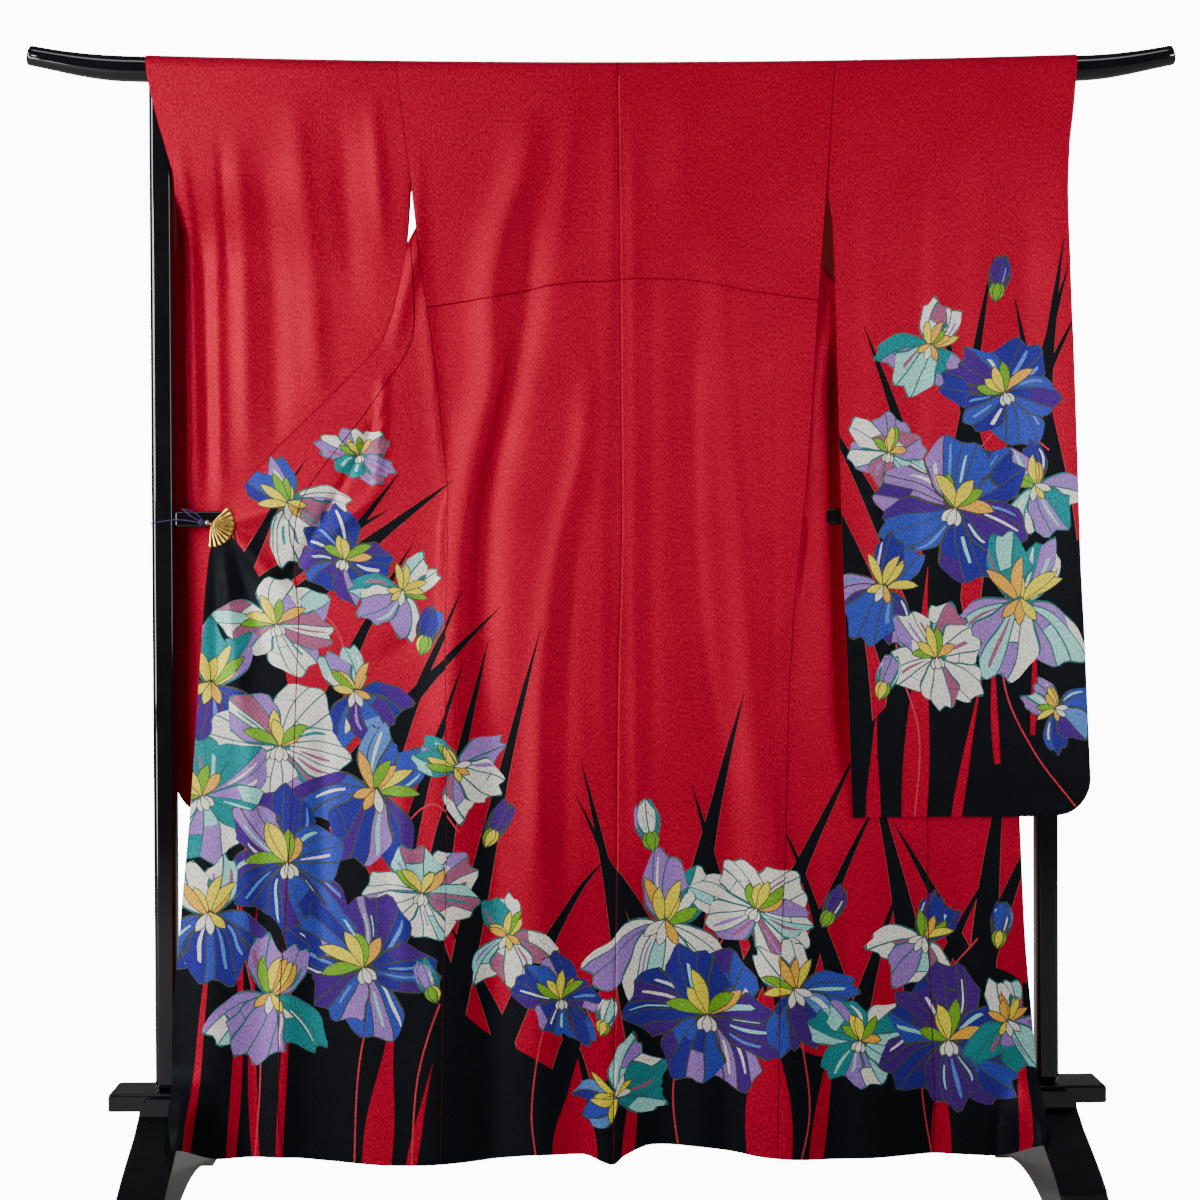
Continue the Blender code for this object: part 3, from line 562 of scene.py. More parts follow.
def lily(picture, x, drop, reach, turn, family, seed, back=None):
    """A lily from the side: back petals, crests, side petals that curl away and one broad petal in front."""
    rng = random.Random(seed)
    centre = Vector((x, drop))
    for spread, size, broad, curl, kind in (
            (-34, 0.82, 0.50, 0.7, back or family), (36, 0.86, 0.52, -0.7, back or family),
            (-104, 0.94, 0.66, -0.9, family), (106, 0.98, 0.66, 0.95, family)):
        angle = math.radians(turn + spread + rng.uniform(-8, 8))
        petal(picture, centre, reach * size, reach * broad, angle, curl, kind, rng, 0.07)
    for k in range(5):
        angle = math.radians(turn - 44 + 22 * k + rng.uniform(-6, 6))
        drop_shape(picture, centre, reach * rng.uniform(0.38, 0.6), reach * 0.13, angle,
                   rng.choice(["yellow", "orange", "lime", "yellow"]), rng.uniform(-0.8, 0.8))
    petal(picture, centre + heading(math.radians(turn)) * reach * 0.1, reach * 1.02, reach * 0.84,
          math.radians(turn + 180 + rng.uniform(-14, 14)), rng.uniform(-0.35, 0.35), family, rng, 0.08)
    for k in range(3):
        drop_shape(picture, centre + heading(math.radians(turn)) * reach * 0.06, reach * 0.3, reach * 0.11,
                   math.radians(turn + 140 + 40 * k), rng.choice(["orange", "yellow", "cream"]))


def bud(picture, x, drop, reach, turn, family, seed):
    """A closed bud on its green cup."""
    rng = random.Random(seed)
    centre = Vector((x, drop))
    for spread in (-16, 16, 0):
        petal(picture, centre, reach * rng.uniform(0.9, 1.0), reach * 0.4, math.radians(turn + spread),
              -0.025 * spread, family, rng, 0.04)
    for spread in (-26, 26, 0):
        drop_shape(picture, centre - heading(math.radians(turn)) * reach * 0.06, reach * 0.4, reach * 0.17,
                   math.radians(turn + spread), rng.choice(["lime", "lime", "yellow"]), -0.02 * spread)


def vine(picture, points):
    """A thin pink stem through these points."""
    route = smooth_route([(x, drop, 0) for x, drop in points], 0.008)
    middle = []
    for k, here in enumerate(route):
        along = (route[min(k + 1, len(route) - 1)] - route[max(k - 1, 0)]).normalized()
        middle.append((here.xy, Vector((-along.y, along.x)) * STEM_HALF_WIDTH))
    picture.append(("stem", strip(middle)))


def ground(picture, top, bottom):
    """Black ground whose upper edge runs through these points."""
    route = smooth_route([(x, drop, 0) for x, drop in top], 0.01)
    picture.append(("black", [p.xy for p in route] + [Vector((top[-1][0], bottom)), Vector((top[0][0], bottom))]))


# The hem's ground and reeds
ground(hem_picture, [
    (-0.66, 0.665), (-0.60, 0.665), (-0.545, 0.675), (-0.50, 0.73), (-0.465, 0.82), (-0.43, 1.02), (-0.37, 1.20),
    (-0.28, 1.24), (-0.20, 1.36), (-0.12, 1.42), (-0.03, 1.46), (0.05, 1.40), (0.13, 1.33), (0.21, 1.36),
    (0.29, 1.42), (0.37, 1.40), (0.45, 1.35), (0.53, 1.30), (0.60, 1.33), (0.66, 1.36)], 1.60)
for x, drop, length, width, lean, bend in [
        (-0.57, 0.90, 0.36, 0.022, 14, 22), (-0.53, 0.98, 0.46, 0.026, 24, 16), (-0.50, 1.05, 0.38, 0.022, 2, -14),
        (-0.46, 1.15, 0.50, 0.024, 12, 22), (-0.44, 1.22, 0.40, 0.020, -14, -20), (-0.40, 1.28, 0.56, 0.026, 16, 10),
        (-0.36, 1.34, 0.44, 0.022, -6, -16), (-0.33, 1.36, 0.52, 0.022, 8, 14), (-0.29, 1.34, 0.40, 0.024, -16, -12),
        (-0.27, 1.38, 0.56, 0.026, 6, 10), (-0.23, 1.42, 0.62, 0.024, 10, 6), (-0.20, 1.44, 0.44, 0.020, -10, -18),
        (-0.17, 1.46, 0.36, 0.022, 18, 20), (-0.12, 1.50, 0.30, 0.020, -14, -16), (-0.08, 1.50, 0.26, 0.020, 12, 22),
        (-0.03, 1.52, 0.22, 0.018, -8, -20), (0.02, 1.52, 0.30, 0.020, 10, 18), (0.05, 1.48, 0.48, 0.026, -6, -10),
        (0.08, 1.46, 0.56, 0.028, 8, 8), (0.12, 1.44, 0.42, 0.024, -18, -12), (0.15, 1.44, 0.50, 0.026, 20, 10),
        (0.19, 1.44, 0.40, 0.024, -4, -14), (0.23, 1.46, 0.44, 0.022, 12, 20), (0.27, 1.48, 0.30, 0.020, -12, -16),
        (0.32, 1.50, 0.34, 0.022, 10, 14), (0.36, 1.50, 0.42, 0.024, -10, -12), (0.41, 1.48, 0.34, 0.022, 14, 18),
        (0.45, 1.46, 0.50, 0.026, -6, -10), (0.48, 1.44, 0.42, 0.024, 16, 12), (0.52, 1.42, 0.48, 0.026, 2, 10),
        (0.55, 1.42, 0.36, 0.022, -18, -14), (0.59, 1.44, 0.40, 0.024, 6, 14), (-0.61, 1.00, 0.30, 0.022, -4, -10),
        (-0.52, 0.86, 0.40, 0.026, 44, 12), (-0.54, 0.80, 0.28, 0.022, 52, 8), (-0.44, 1.14, 0.46, 0.026, 30, 20)]:
    reed(hem_picture, x, drop, length, width * HEM_REED_BREADTH, lean, bend)
for x, drop, length, width, lean, bend in [
        (-0.585, 1.60, 0.50, 0.010, 2, 8), (-0.535, 1.60, 0.46, 0.014, 6, -8), (-0.495, 1.60, 0.42, 0.012, -4, 10),
        (-0.465, 1.60, 0.44, 0.010, 2, 6), (-0.330, 1.60, 0.26, 0.040, 4, 6), (-0.285, 1.60, 0.18, 0.014, 10, 4),
        (-0.050, 1.60, 0.17, 0.060, 0, 4), (0.020, 1.60, 0.20, 0.018, 8, -6), (0.225, 1.60, 0.30, 0.062, -2, 5),
        (0.285, 1.60, 0.26, 0.020, 6, 6), (0.470, 1.60, 0.20, 0.026, -3, 6), (0.575, 1.60, 0.34, 0.014, 3, -5)]:
    reed(hem_picture, x, drop, length, width, lean, bend, "red")

# The hem's stems and flowers
for route in [
        [(-0.50, 1.60), (-0.49, 1.40), (-0.52, 1.22), (-0.50, 1.08)],
        [(-0.36, 1.60), (-0.35, 1.42), (-0.31, 1.25), (-0.30, 1.12), (-0.25, 1.06), (-0.21, 1.10)],
        [(-0.28, 1.60), (-0.27, 1.45), (-0.24, 1.34)],
        [(-0.10, 1.60), (-0.11, 1.50), (-0.09, 1.38), (-0.05, 1.34), (-0.02, 1.38)],
        [(0.10, 1.60), (0.09, 1.48), (0.12, 1.36), (0.18, 1.22)], [(0.26, 1.60), (0.28, 1.50), (0.27, 1.40)],
        [(0.46, 1.60), (0.44, 1.46), (0.46, 1.34), (0.52, 1.26)],
        [(-0.40, 1.02), (-0.36, 0.92), (-0.38, 0.82), (-0.42, 0.78)]]:
    vine(hem_picture, route)
for draw, *flower in [
        (open_bloom, -0.352, 0.565, 0.059, 20, "teal", 2, 0.7, "white"),
        (lily, -0.448, 0.640, 0.088, 130, "white", 3, "violet"), (bud, -0.505, 0.588, 0.066, 60, "blue", 4),
        (open_bloom, -0.372, 0.715, 0.081, 50, "violet", 5, 0.8),
        (lily, -0.292, 0.760, 0.073, 40, "teal", 6, "white"), (bud, -0.262, 0.845, 0.070, 75, "violet", 7),
        (open_bloom, -0.468, 0.812, 0.090, 10, "white", 8, 0.78),
        (lily, -0.560, 0.900, 0.110, 70, "violet", 9, "teal"),
        (lily, -0.355, 0.905, 0.083, 115, "blue", 10, "teal"),
        (open_bloom, -0.462, 0.985, 0.112, 35, "white", 12, 0.88),
        (open_bloom, -0.572, 1.055, 0.110, 5, "teal", 13, 0.9),
        (lily, -0.330, 1.045, 0.115, 60, "violet", 14, "blue"),
        (lily, -0.212, 1.010, 0.077, 150, "white", 15, "teal"),
        (open_bloom, -0.452, 1.150, 0.117, 60, "violet", 16, 0.82),
        (open_bloom, -0.262, 1.185, 0.090, 15, "white", 17, 0.8),
        (lily, -0.560, 1.225, 0.107, 95, "violet", 18, "white"), (bud, -0.172, 1.120, 0.068, 60, "violet", 19),
        (open_bloom, -0.345, 1.290, 0.120, 25, "violet", 20, 0.86),
        (lily, -0.475, 1.340, 0.103, 80, "teal", 21, "white"), (bud, -0.245, 1.335, 0.061, 110, "teal", 22),
        (lily, -0.142, 1.255, 0.075, 100, "white", 23, "teal"),
        (open_bloom, -0.068, 1.345, 0.076, 40, "violet", 24, 0.75), (bud, -0.012, 1.385, 0.057, 75, "white", 25),
        (lily, 0.012, 1.470, 0.077, 200, "teal", 26, "blue"), (bud, 0.062, 1.140, 0.073, 100, "teal", 27),
        (lily, 0.078, 1.250, 0.125, 75, "white", 28, "teal"),
        (open_bloom, 0.208, 1.215, 0.095, 20, "white", 29, 0.8),
        (open_bloom, 0.138, 1.375, 0.127, 30, "violet", 30, 0.84),
        (lily, 0.262, 1.330, 0.092, 120, "blue", 31, "white"), (bud, 0.302, 1.235, 0.062, 60, "violet", 32),
        (open_bloom, 0.352, 1.400, 0.085, 10, "teal", 33, 0.8),
        (lily, 0.442, 1.262, 0.080, 55, "white", 34, "violet"),
        (open_bloom, 0.478, 1.405, 0.117, 45, "violet", 35, 0.85), (bud, 0.548, 1.270, 0.064, 80, "blue", 36),
        (lily, 0.562, 1.380, 0.077, 100, "teal", 37, "white")]:
    draw(hem_picture, *flower)

# The right sleeve's ground, reeds, stems and flowers
ground(sleeve_picture, [
    (0.30, 0.99), (0.35, 0.96), (0.41, 0.90), (0.47, 0.82), (0.52, 0.80), (0.57, 0.74), (0.62, 0.70), (0.72, 0.68)],
    1.10)
for x, drop, length, width, lean, bend in [
        (0.36, 1.02, 0.58, 0.028, -3, -8), (0.40, 0.98, 0.52, 0.028, 10, 12), (0.43, 0.94, 0.44, 0.026, -16, -10),
        (0.47, 0.90, 0.62, 0.030, 4, 8), (0.50, 0.86, 0.50, 0.028, -10, -12), (0.54, 0.84, 0.56, 0.030, 8, 10),
        (0.57, 0.80, 0.46, 0.028, -8, -10), (0.60, 0.80, 0.54, 0.030, 2, 8), (0.64, 0.78, 0.44, 0.028, -4, -8),
        (0.52, 0.72, 0.40, 0.020, 18, 12), (0.45, 0.80, 0.38, 0.020, -20, -14), (0.66, 0.80, 0.40, 0.024, -2, -12)]:
    reed(sleeve_picture, x, drop, length, width * SLEEVE_REED_BREADTH, lean, bend)
for x, drop, length, width, lean, bend in [
        (0.375, 1.12, 0.20, 0.020, -2, 8), (0.43, 1.12, 0.40, 0.036, 2, 4), (0.485, 1.12, 0.26, 0.014, 8, 6),
        (0.55, 1.00, 0.20, 0.010, -4, 8), (0.60, 0.96, 0.20, 0.008, 4, -6)]:
    reed(sleeve_picture, x, drop, length, width, lean, bend, "red")
for route in [
        [(0.43, 1.10), (0.44, 0.96), (0.41, 0.84), (0.42, 0.70), (0.47, 0.62)],
        [(0.66, 1.06), (0.60, 0.98), (0.56, 0.88), (0.57, 0.74), (0.60, 0.66)],
        [(0.50, 0.72), (0.51, 0.60), (0.57, 0.52), (0.63, 0.56)]]:
    vine(sleeve_picture, route)
for draw, *flower in [
        (bud, 0.555, 0.345, 0.066, 80, "blue", 51), (lily, 0.462, 0.412, 0.080, 65, "teal", 52, "white"),
        (open_bloom, 0.566, 0.478, 0.093, 25, "violet", 53, 0.82),
        (open_bloom, 0.402, 0.560, 0.073, 40, "white", 54, 0.75),
        (lily, 0.612, 0.612, 0.080, 120, "teal", 55, "violet"),
        (open_bloom, 0.496, 0.640, 0.127, 10, "violet", 56, 0.82),
        (lily, 0.586, 0.776, 0.122, 85, "white", 57, "teal"), (lily, 0.392, 0.752, 0.090, 60, "violet", 58, "blue"),
        (open_bloom, 0.466, 0.850, 0.085, 50, "white", 59, 0.8), (bud, 0.385, 0.905, 0.066, 70, "teal", 60),
        (lily, 0.636, 0.925, 0.062, 140, "blue", 61, "teal")]:
    draw(sleeve_picture, *flower)

# Hang of the cloth
# The whole garment hangs from the top rail, folded over it along the shoulder line. A point's place is given by
# X and its drop below the rail's top; the depth follows the folds that the cloth's weight and the clip pull in it.
DRAPE_RADIUS = RAIL_RADIUS + 0.0014
HEM_DROP = 1.567
NECK_DROP = 0.050
ARC = math.pi * DRAPE_RADIUS
# A place on a length of cloth is its drop in front of the rail. It runs on over the rail, which it leaves here
TURNED = RAIL_RADIUS - ARC
# The cloth stands this much further forwards, first where it leaves the rail and again towards the hem
UPPER_FLARE = 0.011
LOWER_FLARE = 0.036
# The feet lift the hem's outer corners and push them forwards
CORNER_LIFT = 0.032
CORNER_PUSH = 0.075
CORNER_X = (0.545, 0.597)
CORNER_DROP = 1.43
# The hem's height above the floor along X
HEM = [(-0.64, 0.078), (-0.571, 0.082), (-0.475, 0.084), (-0.391, 0.077), (-0.298, 0.072), (-0.184, 0.075),
       (-0.099, 0.083), (-0.040, 0.083), (0.004, 0.068), (0.020, 0.080), (0.060, 0.093), (0.122, 0.090),
       (0.168, 0.084), (0.225, 0.076), (0.310, 0.074), (0.458, 0.078), (0.524, 0.077), (0.64, 0.075)]
# Folds that grow down to the hem: X and drop where one starts, X at the hem, depth there, half width
FOLDS = [
    (-0.205, 0.55, -0.250, 0.016, 0.055), (-0.160, 0.45, -0.167, -0.006, 0.022), (-0.091, 0.35, -0.100, 0.008, 0.035),
    (0.000, 0.90, 0.004, 0.006, 0.032), (0.080, 0.90, 0.080, -0.013, 0.045), (0.178, 0.45, 0.165, -0.006, 0.028),
    (0.217, 0.45, 0.260, 0.016, 0.050), (0.360, 0.80, 0.370, 0.012, 0.050), (0.450, 1.00, 0.457, -0.006, 0.024),
    (0.550, 0.90, 0.550, 0.010, 0.050), (-0.340, 0.80, -0.330, 0.010, 0.050), (-0.440, 0.90, -0.465, 0.010, 0.024),
    (-0.550, 0.80, -0.560, 0.012, 0.040),
]
# Creases: X and drop of both ends, depth towards the viewer, half width
CREASES = [
    (-0.316, 0.46, -0.3265, 0.605, 0.006, 0.0075), (-0.316, 0.50, -0.369, 0.598, -0.004, 0.006),
    (-0.369, 0.598, -0.427, 0.699, -0.005, 0.006), (-0.427, 0.699, -0.452, 0.745, -0.004, 0.006),
    (-0.322, 0.615, -0.392, 0.680, 0.004, 0.010), (-0.530, 0.665, -0.405, 0.628, 0.005, 0.011),
    (-0.532, 0.675, -0.440, 0.700, -0.004, 0.009), (-0.532, 0.685, -0.445, 0.775, 0.006, 0.012),
    (-0.536, 0.690, -0.480, 0.860, -0.006, 0.014), (-0.545, 0.700, -0.515, 0.950, 0.006, 0.014),
    (-0.552, 0.700, -0.552, 0.900, -0.004, 0.010), (-0.262, 0.240, -0.300, 0.400, 0.005, 0.012),
    (-0.255, 0.820, -0.320, 0.850, -0.004, 0.014), (-0.262, 0.760, -0.330, 0.740, 0.003, 0.014),
]
# Soft folds that run down the cloth: depth towards the viewer, half width left and right of the crest, and the X and
# drop of the places that it runs through
RUNNING = [
    (0.0088, 0.030, 0.019, [(-0.107, 0.05), (-0.110, 0.14), (-0.144, 0.25), (-0.158, 0.35), (-0.156, 0.44),
                            (-0.180, 0.55), (-0.203, 0.69), (-0.213, 0.84), (-0.222, 1.04)]),
    (-0.0081, 0.015, 0.024, [(-0.095, 0.18), (-0.114, 0.36), (-0.140, 0.50), (-0.168, 0.64), (-0.176, 0.80),
                             (-0.180, 1.0)]),
    (0.0046, 0.018, 0.014, [(-0.020, 0.40), (-0.030, 0.55), (-0.061, 0.68), (-0.078, 0.78), (-0.092, 0.92),
                            (-0.100, 1.20)]),
    (-0.0026, 0.012, 0.016, [(-0.040, 0.62), (-0.052, 0.80), (-0.062, 1.00), (-0.066, 1.25)]),
    (0.0013, 0.014, 0.009, [(0.010, 0.03), (0.012, 0.14), (0.004, 0.46), (-0.003, 0.66), (-0.006, 1.05)]),
    (0.0016, 0.009, 0.014, [(0.036, 0.03), (0.040, 0.14), (0.042, 0.46), (0.040, 0.78), (0.041, 1.20)]),
    (-0.0020, 0.010, 0.016, [(0.064, 0.25), (0.064, 0.50), (0.062, 0.80), (0.060, 1.10)]),
    (0.0043, 0.026, 0.020, [(0.160, 0.22), (0.172, 0.36), (0.184, 0.53), (0.195, 0.70), (0.205, 0.92),
                            (0.212, 1.15)]),
    (-0.0040, 0.022, 0.016, [(0.128, 0.34), (0.122, 0.52), (0.124, 0.68), (0.140, 0.88), (0.166, 1.05)]),
    (0.0022, 0.014, 0.011, [(0.243, 0.30), (0.240, 0.48), (0.236, 0.72), (0.234, 0.92), (0.238, 1.20)]),
    (0.0026, 0.014, 0.010, [(-0.262, 0.10), (-0.264, 0.24), (-0.250, 0.38), (-0.236, 0.53), (-0.228, 0.66)]),
    (0.0017, 0.016, 0.012, [(-0.040, 0.03), (-0.052, 0.16), (-0.070, 0.30)]),
    (0.0015, 0.007, 0.006, [(0.233, 0.02), (0.236, 0.06), (0.238, 0.12)]),
    (0.0020, 0.024, 0.020, [(0.110, 0.02), (0.112, 0.10), (0.104, 0.24)]),
    (0.0020, 0.012, 0.009, [(0.425, 0.01), (0.424, 0.06), (0.428, 0.15)]),
    (0.0018, 0.010, 0.010, [(0.625, 0.01), (0.622, 0.15)]),
    (-0.0026, 0.020, 0.026, [(0.545, 0.02), (0.540, 0.20), (0.528, 0.42), (0.520, 0.60)]),
    (0.0026, 0.022, 0.018, [(0.600, 0.15), (0.596, 0.34), (0.580, 0.60), (0.576, 0.85)]),
    (0.0026, 0.020, 0.016, [(0.450, 0.12), (0.446, 0.34), (0.440, 0.60), (0.436, 0.85)]),
    (-0.0020, 0.014, 0.016, [(0.380, 0.10), (0.378, 0.34), (0.384, 0.60), (0.390, 0.90)]),
    (0.0030, 0.016, 0.014, [(-0.500, 0.90), (-0.506, 1.10), (-0.512, 1.40)]),
    (-0.0030, 0.014, 0.014, [(-0.400, 0.90), (-0.404, 1.10), (-0.410, 1.35)]),
    (0.0033, 0.016, 0.016, [(-0.290, 0.95), (-0.290, 1.15), (-0.286, 1.40)]),
    (0.0030, 0.018, 0.014, [(0.310, 0.95), (0.314, 1.15), (0.318, 1.40)]),
    (-0.0026, 0.014, 0.016, [(0.490, 1.05), (0.496, 1.20), (0.500, 1.42)]),
]
# The same for the left sleeve alone
SLEEVE_RUNNING = [
    (0.0040, 0.010, 0.007, [(-0.600, 0.10), (-0.590, 0.25), (-0.586, 0.42), (-0.584, 0.66)]),
    (-0.0026, 0.007, 0.008, [(-0.575, 0.20), (-0.571, 0.40), (-0.568, 0.66)]),
    (0.0034, 0.009, 0.009, [(-0.560, 0.16), (-0.554, 0.34), (-0.551, 0.66)]),
    (-0.0028, 0.006, 0.007, [(-0.543, 0.10), (-0.540, 0.22), (-0.538, 0.34)]),
    (0.0040, 0.014, 0.014, [(-0.520, 0.08), (-0.516, 0.28), (-0.512, 0.60)]),
    (-0.0036, 0.016, 0.018, [(-0.484, 0.10), (-0.474, 0.30), (-0.470, 0.60)]),
    (0.0040, 0.020, 0.018, [(-0.440, 0.02), (-0.430, 0.16), (-0.416, 0.34), (-0.410, 0.52)]),
    (-0.0040, 0.020, 0.020, [(-0.376, 0.04), (-0.366, 0.20), (-0.356, 0.38)]),
    (0.0034, 0.012, 0.012, [(-0.330, 0.03), (-0.322, 0.14), (-0.314, 0.30)]),
]
FOLD_ROW = 0.004
# Width of the painted shade along a seam: a dark red strip that stands in for the shadow in the seam's groove
SEAM_SHADE = 0.0008
CLOTH_STEP = 0.008
RAIL_STEP = 0.005
SILK_WALL = 0.0009
WELD = 0.00004
# How far apart the places are that the cloth's slope is read from
SLOPE_REACH = 0.0015


def read(table, at):
    """A smooth curve through a table of (place, value) rows."""
    at = min(max(at, table[0][0]), table[-1][0])
    row = 0
    while row < len(table) - 2 and at > table[row + 1][0]:
        row += 1
    (x0, y0), (x1, y1) = table[row][:2], table[row + 1][:2]

    def slope(k):
        if k == 0 or k == len(table) - 1:
            return (y1 - y0) / (x1 - x0)
        before = (table[k][1] - table[k - 1][1]) / (table[k][0] - table[k - 1][0])
        after = (table[k + 1][1] - table[k][1]) / (table[k + 1][0] - table[k][0])
        return 0.0 if before * after <= 0 else 2 * before * after / (before + after)

    span = x1 - x0
    t = (at - x0) / span
    a, b = slope(row) * span, slope(row + 1) * span
    return ((2 * t**3 - 3 * t**2 + 1) * y0 + (t**3 - 2 * t**2 + t) * a
            + (3 * t**2 - 2 * t**3) * y1 + (t**3 - t**2) * b)


def hang_z(x, drop, end_drop=HEM_DROP, end_z=None):
    """Height of a point of cloth. Below the first few centimetres it is shared out down to the hem."""
    top = rail_axis_z(x) + RAIL_RADIUS
    if drop <= NECK_DROP:
        return top - drop
    bottom = read(HEM, x) + CORNER_LIFT * over_foot(x, drop) if end_z is None else end_z
    return mix(top - NECK_DROP, bottom, (drop - NECK_DROP) / (end_drop - NECK_DROP))


def over_foot(x, drop):
    """How far the hem's outer corners are pushed up on the feet, 0 to 1."""
    return ease(abs(x), *CORNER_X) * ease(drop, CORNER_DROP, HEM_DROP)


def from_line(x, drop, x0, drop0, x1, drop1):
    """How far along a line a point is, 0 to 1, and how far away from it."""
    dx, dd = x1 - x0, drop1 - drop0
    t = min(1.0, max(0.0, ((x - x0) * dx + (drop - drop0) * dd) / (dx * dx + dd * dd)))
    return t, math.hypot(x - x0 - dx * t, drop - drop0 - dd * t)


def fold_rows(folds):
    """For each fold, its crest's X and its strength at every FOLD_ROW of drop. It rises and fades at its ends."""
    found = []
    for depth, left, right, route in folds:
        table = [(drop, x) for x, drop in route]
        first, last = table[0][0], table[-1][0]
        fade = min(0.14, (last - first) / 2.5)
        rows = [(read(table, k * FOLD_ROW),
                 ease(k * FOLD_ROW, first, first + fade) * (1 - ease(k * FOLD_ROW, last - fade, last)))
                for k in range(int(HEM_DROP / FOLD_ROW) + 3)]
        found.append((depth, left, right, rows))
    return found


running_folds, sleeve_folds = fold_rows(RUNNING), fold_rows(SLEEVE_RUNNING)


def fold_depth(folds, x, drop):
    """How far these folds bring the cloth towards the viewer."""
    row = int(drop / FOLD_ROW)
    t, depth_here = drop / FOLD_ROW - row, 0.0
    for depth, left, right, rows in folds:
        strength = mix(rows[row][1], rows[row + 1][1], t)
        if strength > 0:
            away = x - mix(rows[row][0], rows[row + 1][0], t)
            away /= left if away < 0 else right
            if abs(away) < 3:
                depth_here += depth * strength * math.exp(-(away * away))
    return depth_here


def shown_y(x, drop):
    """Depth of the outermost cloth on the shown side, with its folds."""
    y = -DRAPE_RADIUS - UPPER_FLARE * ease(drop, RAIL_RADIUS, 0.60) - LOWER_FLARE * ease(drop, 0.62, 1.45)
    y -= fold_depth(running_folds, x, max(drop, 0))
    for start_x, start_drop, hem_x, depth, half in FOLDS:
        if drop > start_drop:
            away = (x - mix(start_x, hem_x, ramp(drop, start_drop, HEM_DROP))) / half
            if abs(away) < 3:
                y -= depth * ease(drop, start_drop, HEM_DROP + 0.1) * math.exp(-(away * away))
    for x0, drop0, x1, drop1, depth, half in CREASES:
        t, away = from_line(x, drop, x0, drop0, x1, drop1)
        if away < 3 * half:
            y -= depth * math.sin(math.pi * mix(0.12, 0.88, t)) * math.exp(-((away / half) ** 2))
    return y - CORNER_PUSH * over_foot(x, drop)


def rail_angle(v):
    """How far round the rail a place on the length lies, in radians from the rail's top, above 0 behind it."""
    return math.pi * ((RAIL_RADIUS - v) / ARC - 0.5)


def on_rail_drop(v):
    return RAIL_RADIUS * (1 - math.cos(rail_angle(v)))


def on_rail(x, angle):
    return Vector((x, DRAPE_RADIUS * math.sin(angle), rail_axis_z(x) + DRAPE_RADIUS * math.cos(angle)))


def sheet_of(bm, rows, low, high, step, hang, picture=(), to_flat=None, flip=True, shift=0.0, first=None,
             seams="", lines=()):
    """Adds one panel to a mesh: its rows of points, and along every edge of the dyer's picture, points of its own.

    rows are places along the panel and low and high its edges there, in flat metres. hang gives a point's place in
    the air, to_flat turns a point of the picture into flat metres, first are the points of the first row. lines are
    shapes under the picture in flat metres, and seams names the edges that are sewn to another panel.
    """
    def across(v):
        start, end = low(v), high(v)
        count = max(1, round((end - start) / step))
        return [mix(start, end, k / count) for k in range(1, count)]

    left, right, points = [], [], []
    for number, v in enumerate(rows):
        start, end = low(v), high(v)
        left.append(Vector((start, v)))
        right.append(Vector((end, v)))
        count = max(1, round((end - start) / step))
        if 0 < number < len(rows) - 1:
            points += [Vector((mix(start, end, (k + 0.25 + 0.5 * (number % 2)) / count), v)) for k in range(count)]
    outline = left + [Vector((u, rows[-1])) for u in across(rows[-1])] + right[::-1]
    outline += [Vector((u, rows[0])) for u in reversed(first or across(rows[0]))]
    shapes, dyes = [outline] + [shape for _, shape in lines], [None] + [dye for dye, _ in lines]
    least, most = min(rows), max(rows)
    narrow, wide = min(p.x for p in left), max(p.x for p in right)
    for dye, shape in picture:
        shape = [to_flat(p) for p in shape] if to_flat else shape
        if (min(p.y for p in shape) < most and max(p.y for p in shape) > least
                and min(p.x for p in shape) < wide and max(p.x for p in shape) > narrow):
            shapes.append(shape)
            dyes.append(dye)
    # Each sewn edge gets a strip of painted shade in the seam dye, for the shadow in the seam's groove
    if "low" in seams:
        shapes.append(left + [Vector((p.x + SEAM_SHADE, p.y)) for p in left[::-1]])
        dyes.append("seam")
    if "high" in seams:
        shapes.append(right + [Vector((p.x - SEAM_SHADE, p.y)) for p in right[::-1]])
        dyes.append("seam")
    places, faces = list(points), []
    for shape in shapes:
        turned = sum(a.x * b.y - b.x * a.y for a, b in zip(shape, shape[1:] + shape[:1]))
        faces.append(list(range(len(places), len(places) + len(shape))))
        places += shape if turned > 0 else shape[::-1]
    found, _, made, _, _, origin = delaunay_2d_cdt(places, [], faces, 0, 1e-5, True)
    colour = bm.loops.layers.float_color.get("print") or bm.loops.layers.float_color.new("print")
    cut = bm.loops.layers.uv.get("cloth") or bm.loops.layers.uv.new("cloth")
    lie = bm.verts.layers.float_vector.get("lie") or bm.verts.layers.float_vector.new("lie")
    verts = {}
    for face, source in zip(made, origin):
        middle = sum((found[k] for k in face), Vector((0, 0))) / len(face)
        if 0 not in source or not (least < middle.y < most and low(middle.y) < middle.x < high(middle.y)):
            continue
        for k in face:
            if k not in verts:
                u, v = found[k]
                here = hang(u, v)
                u_to = SLOPE_REACH if u + SLOPE_REACH <= high(v) else -SLOPE_REACH
                v_to = SLOPE_REACH if v + SLOPE_REACH <= most else -SLOPE_REACH
                normal = (hang(u + u_to, v) - here).cross(hang(u, v + v_to) - here).normalized()
                verts[k] = bm.verts.new(here)
                verts[k][lie] = normal if (u_to * v_to < 0) == flip else -normal
        face = face[::-1] if flip else face
        try:
            new = bm.faces.new([verts[k] for k in face])
        except ValueError:
            continue
        tint = (*DYES[dyes[max(source)] or "red"], 1)
        for loop, k in zip(new.loops, face):
            loop[colour] = tint
            loop[cut].uv = (found[k].x, found[k].y + shift)


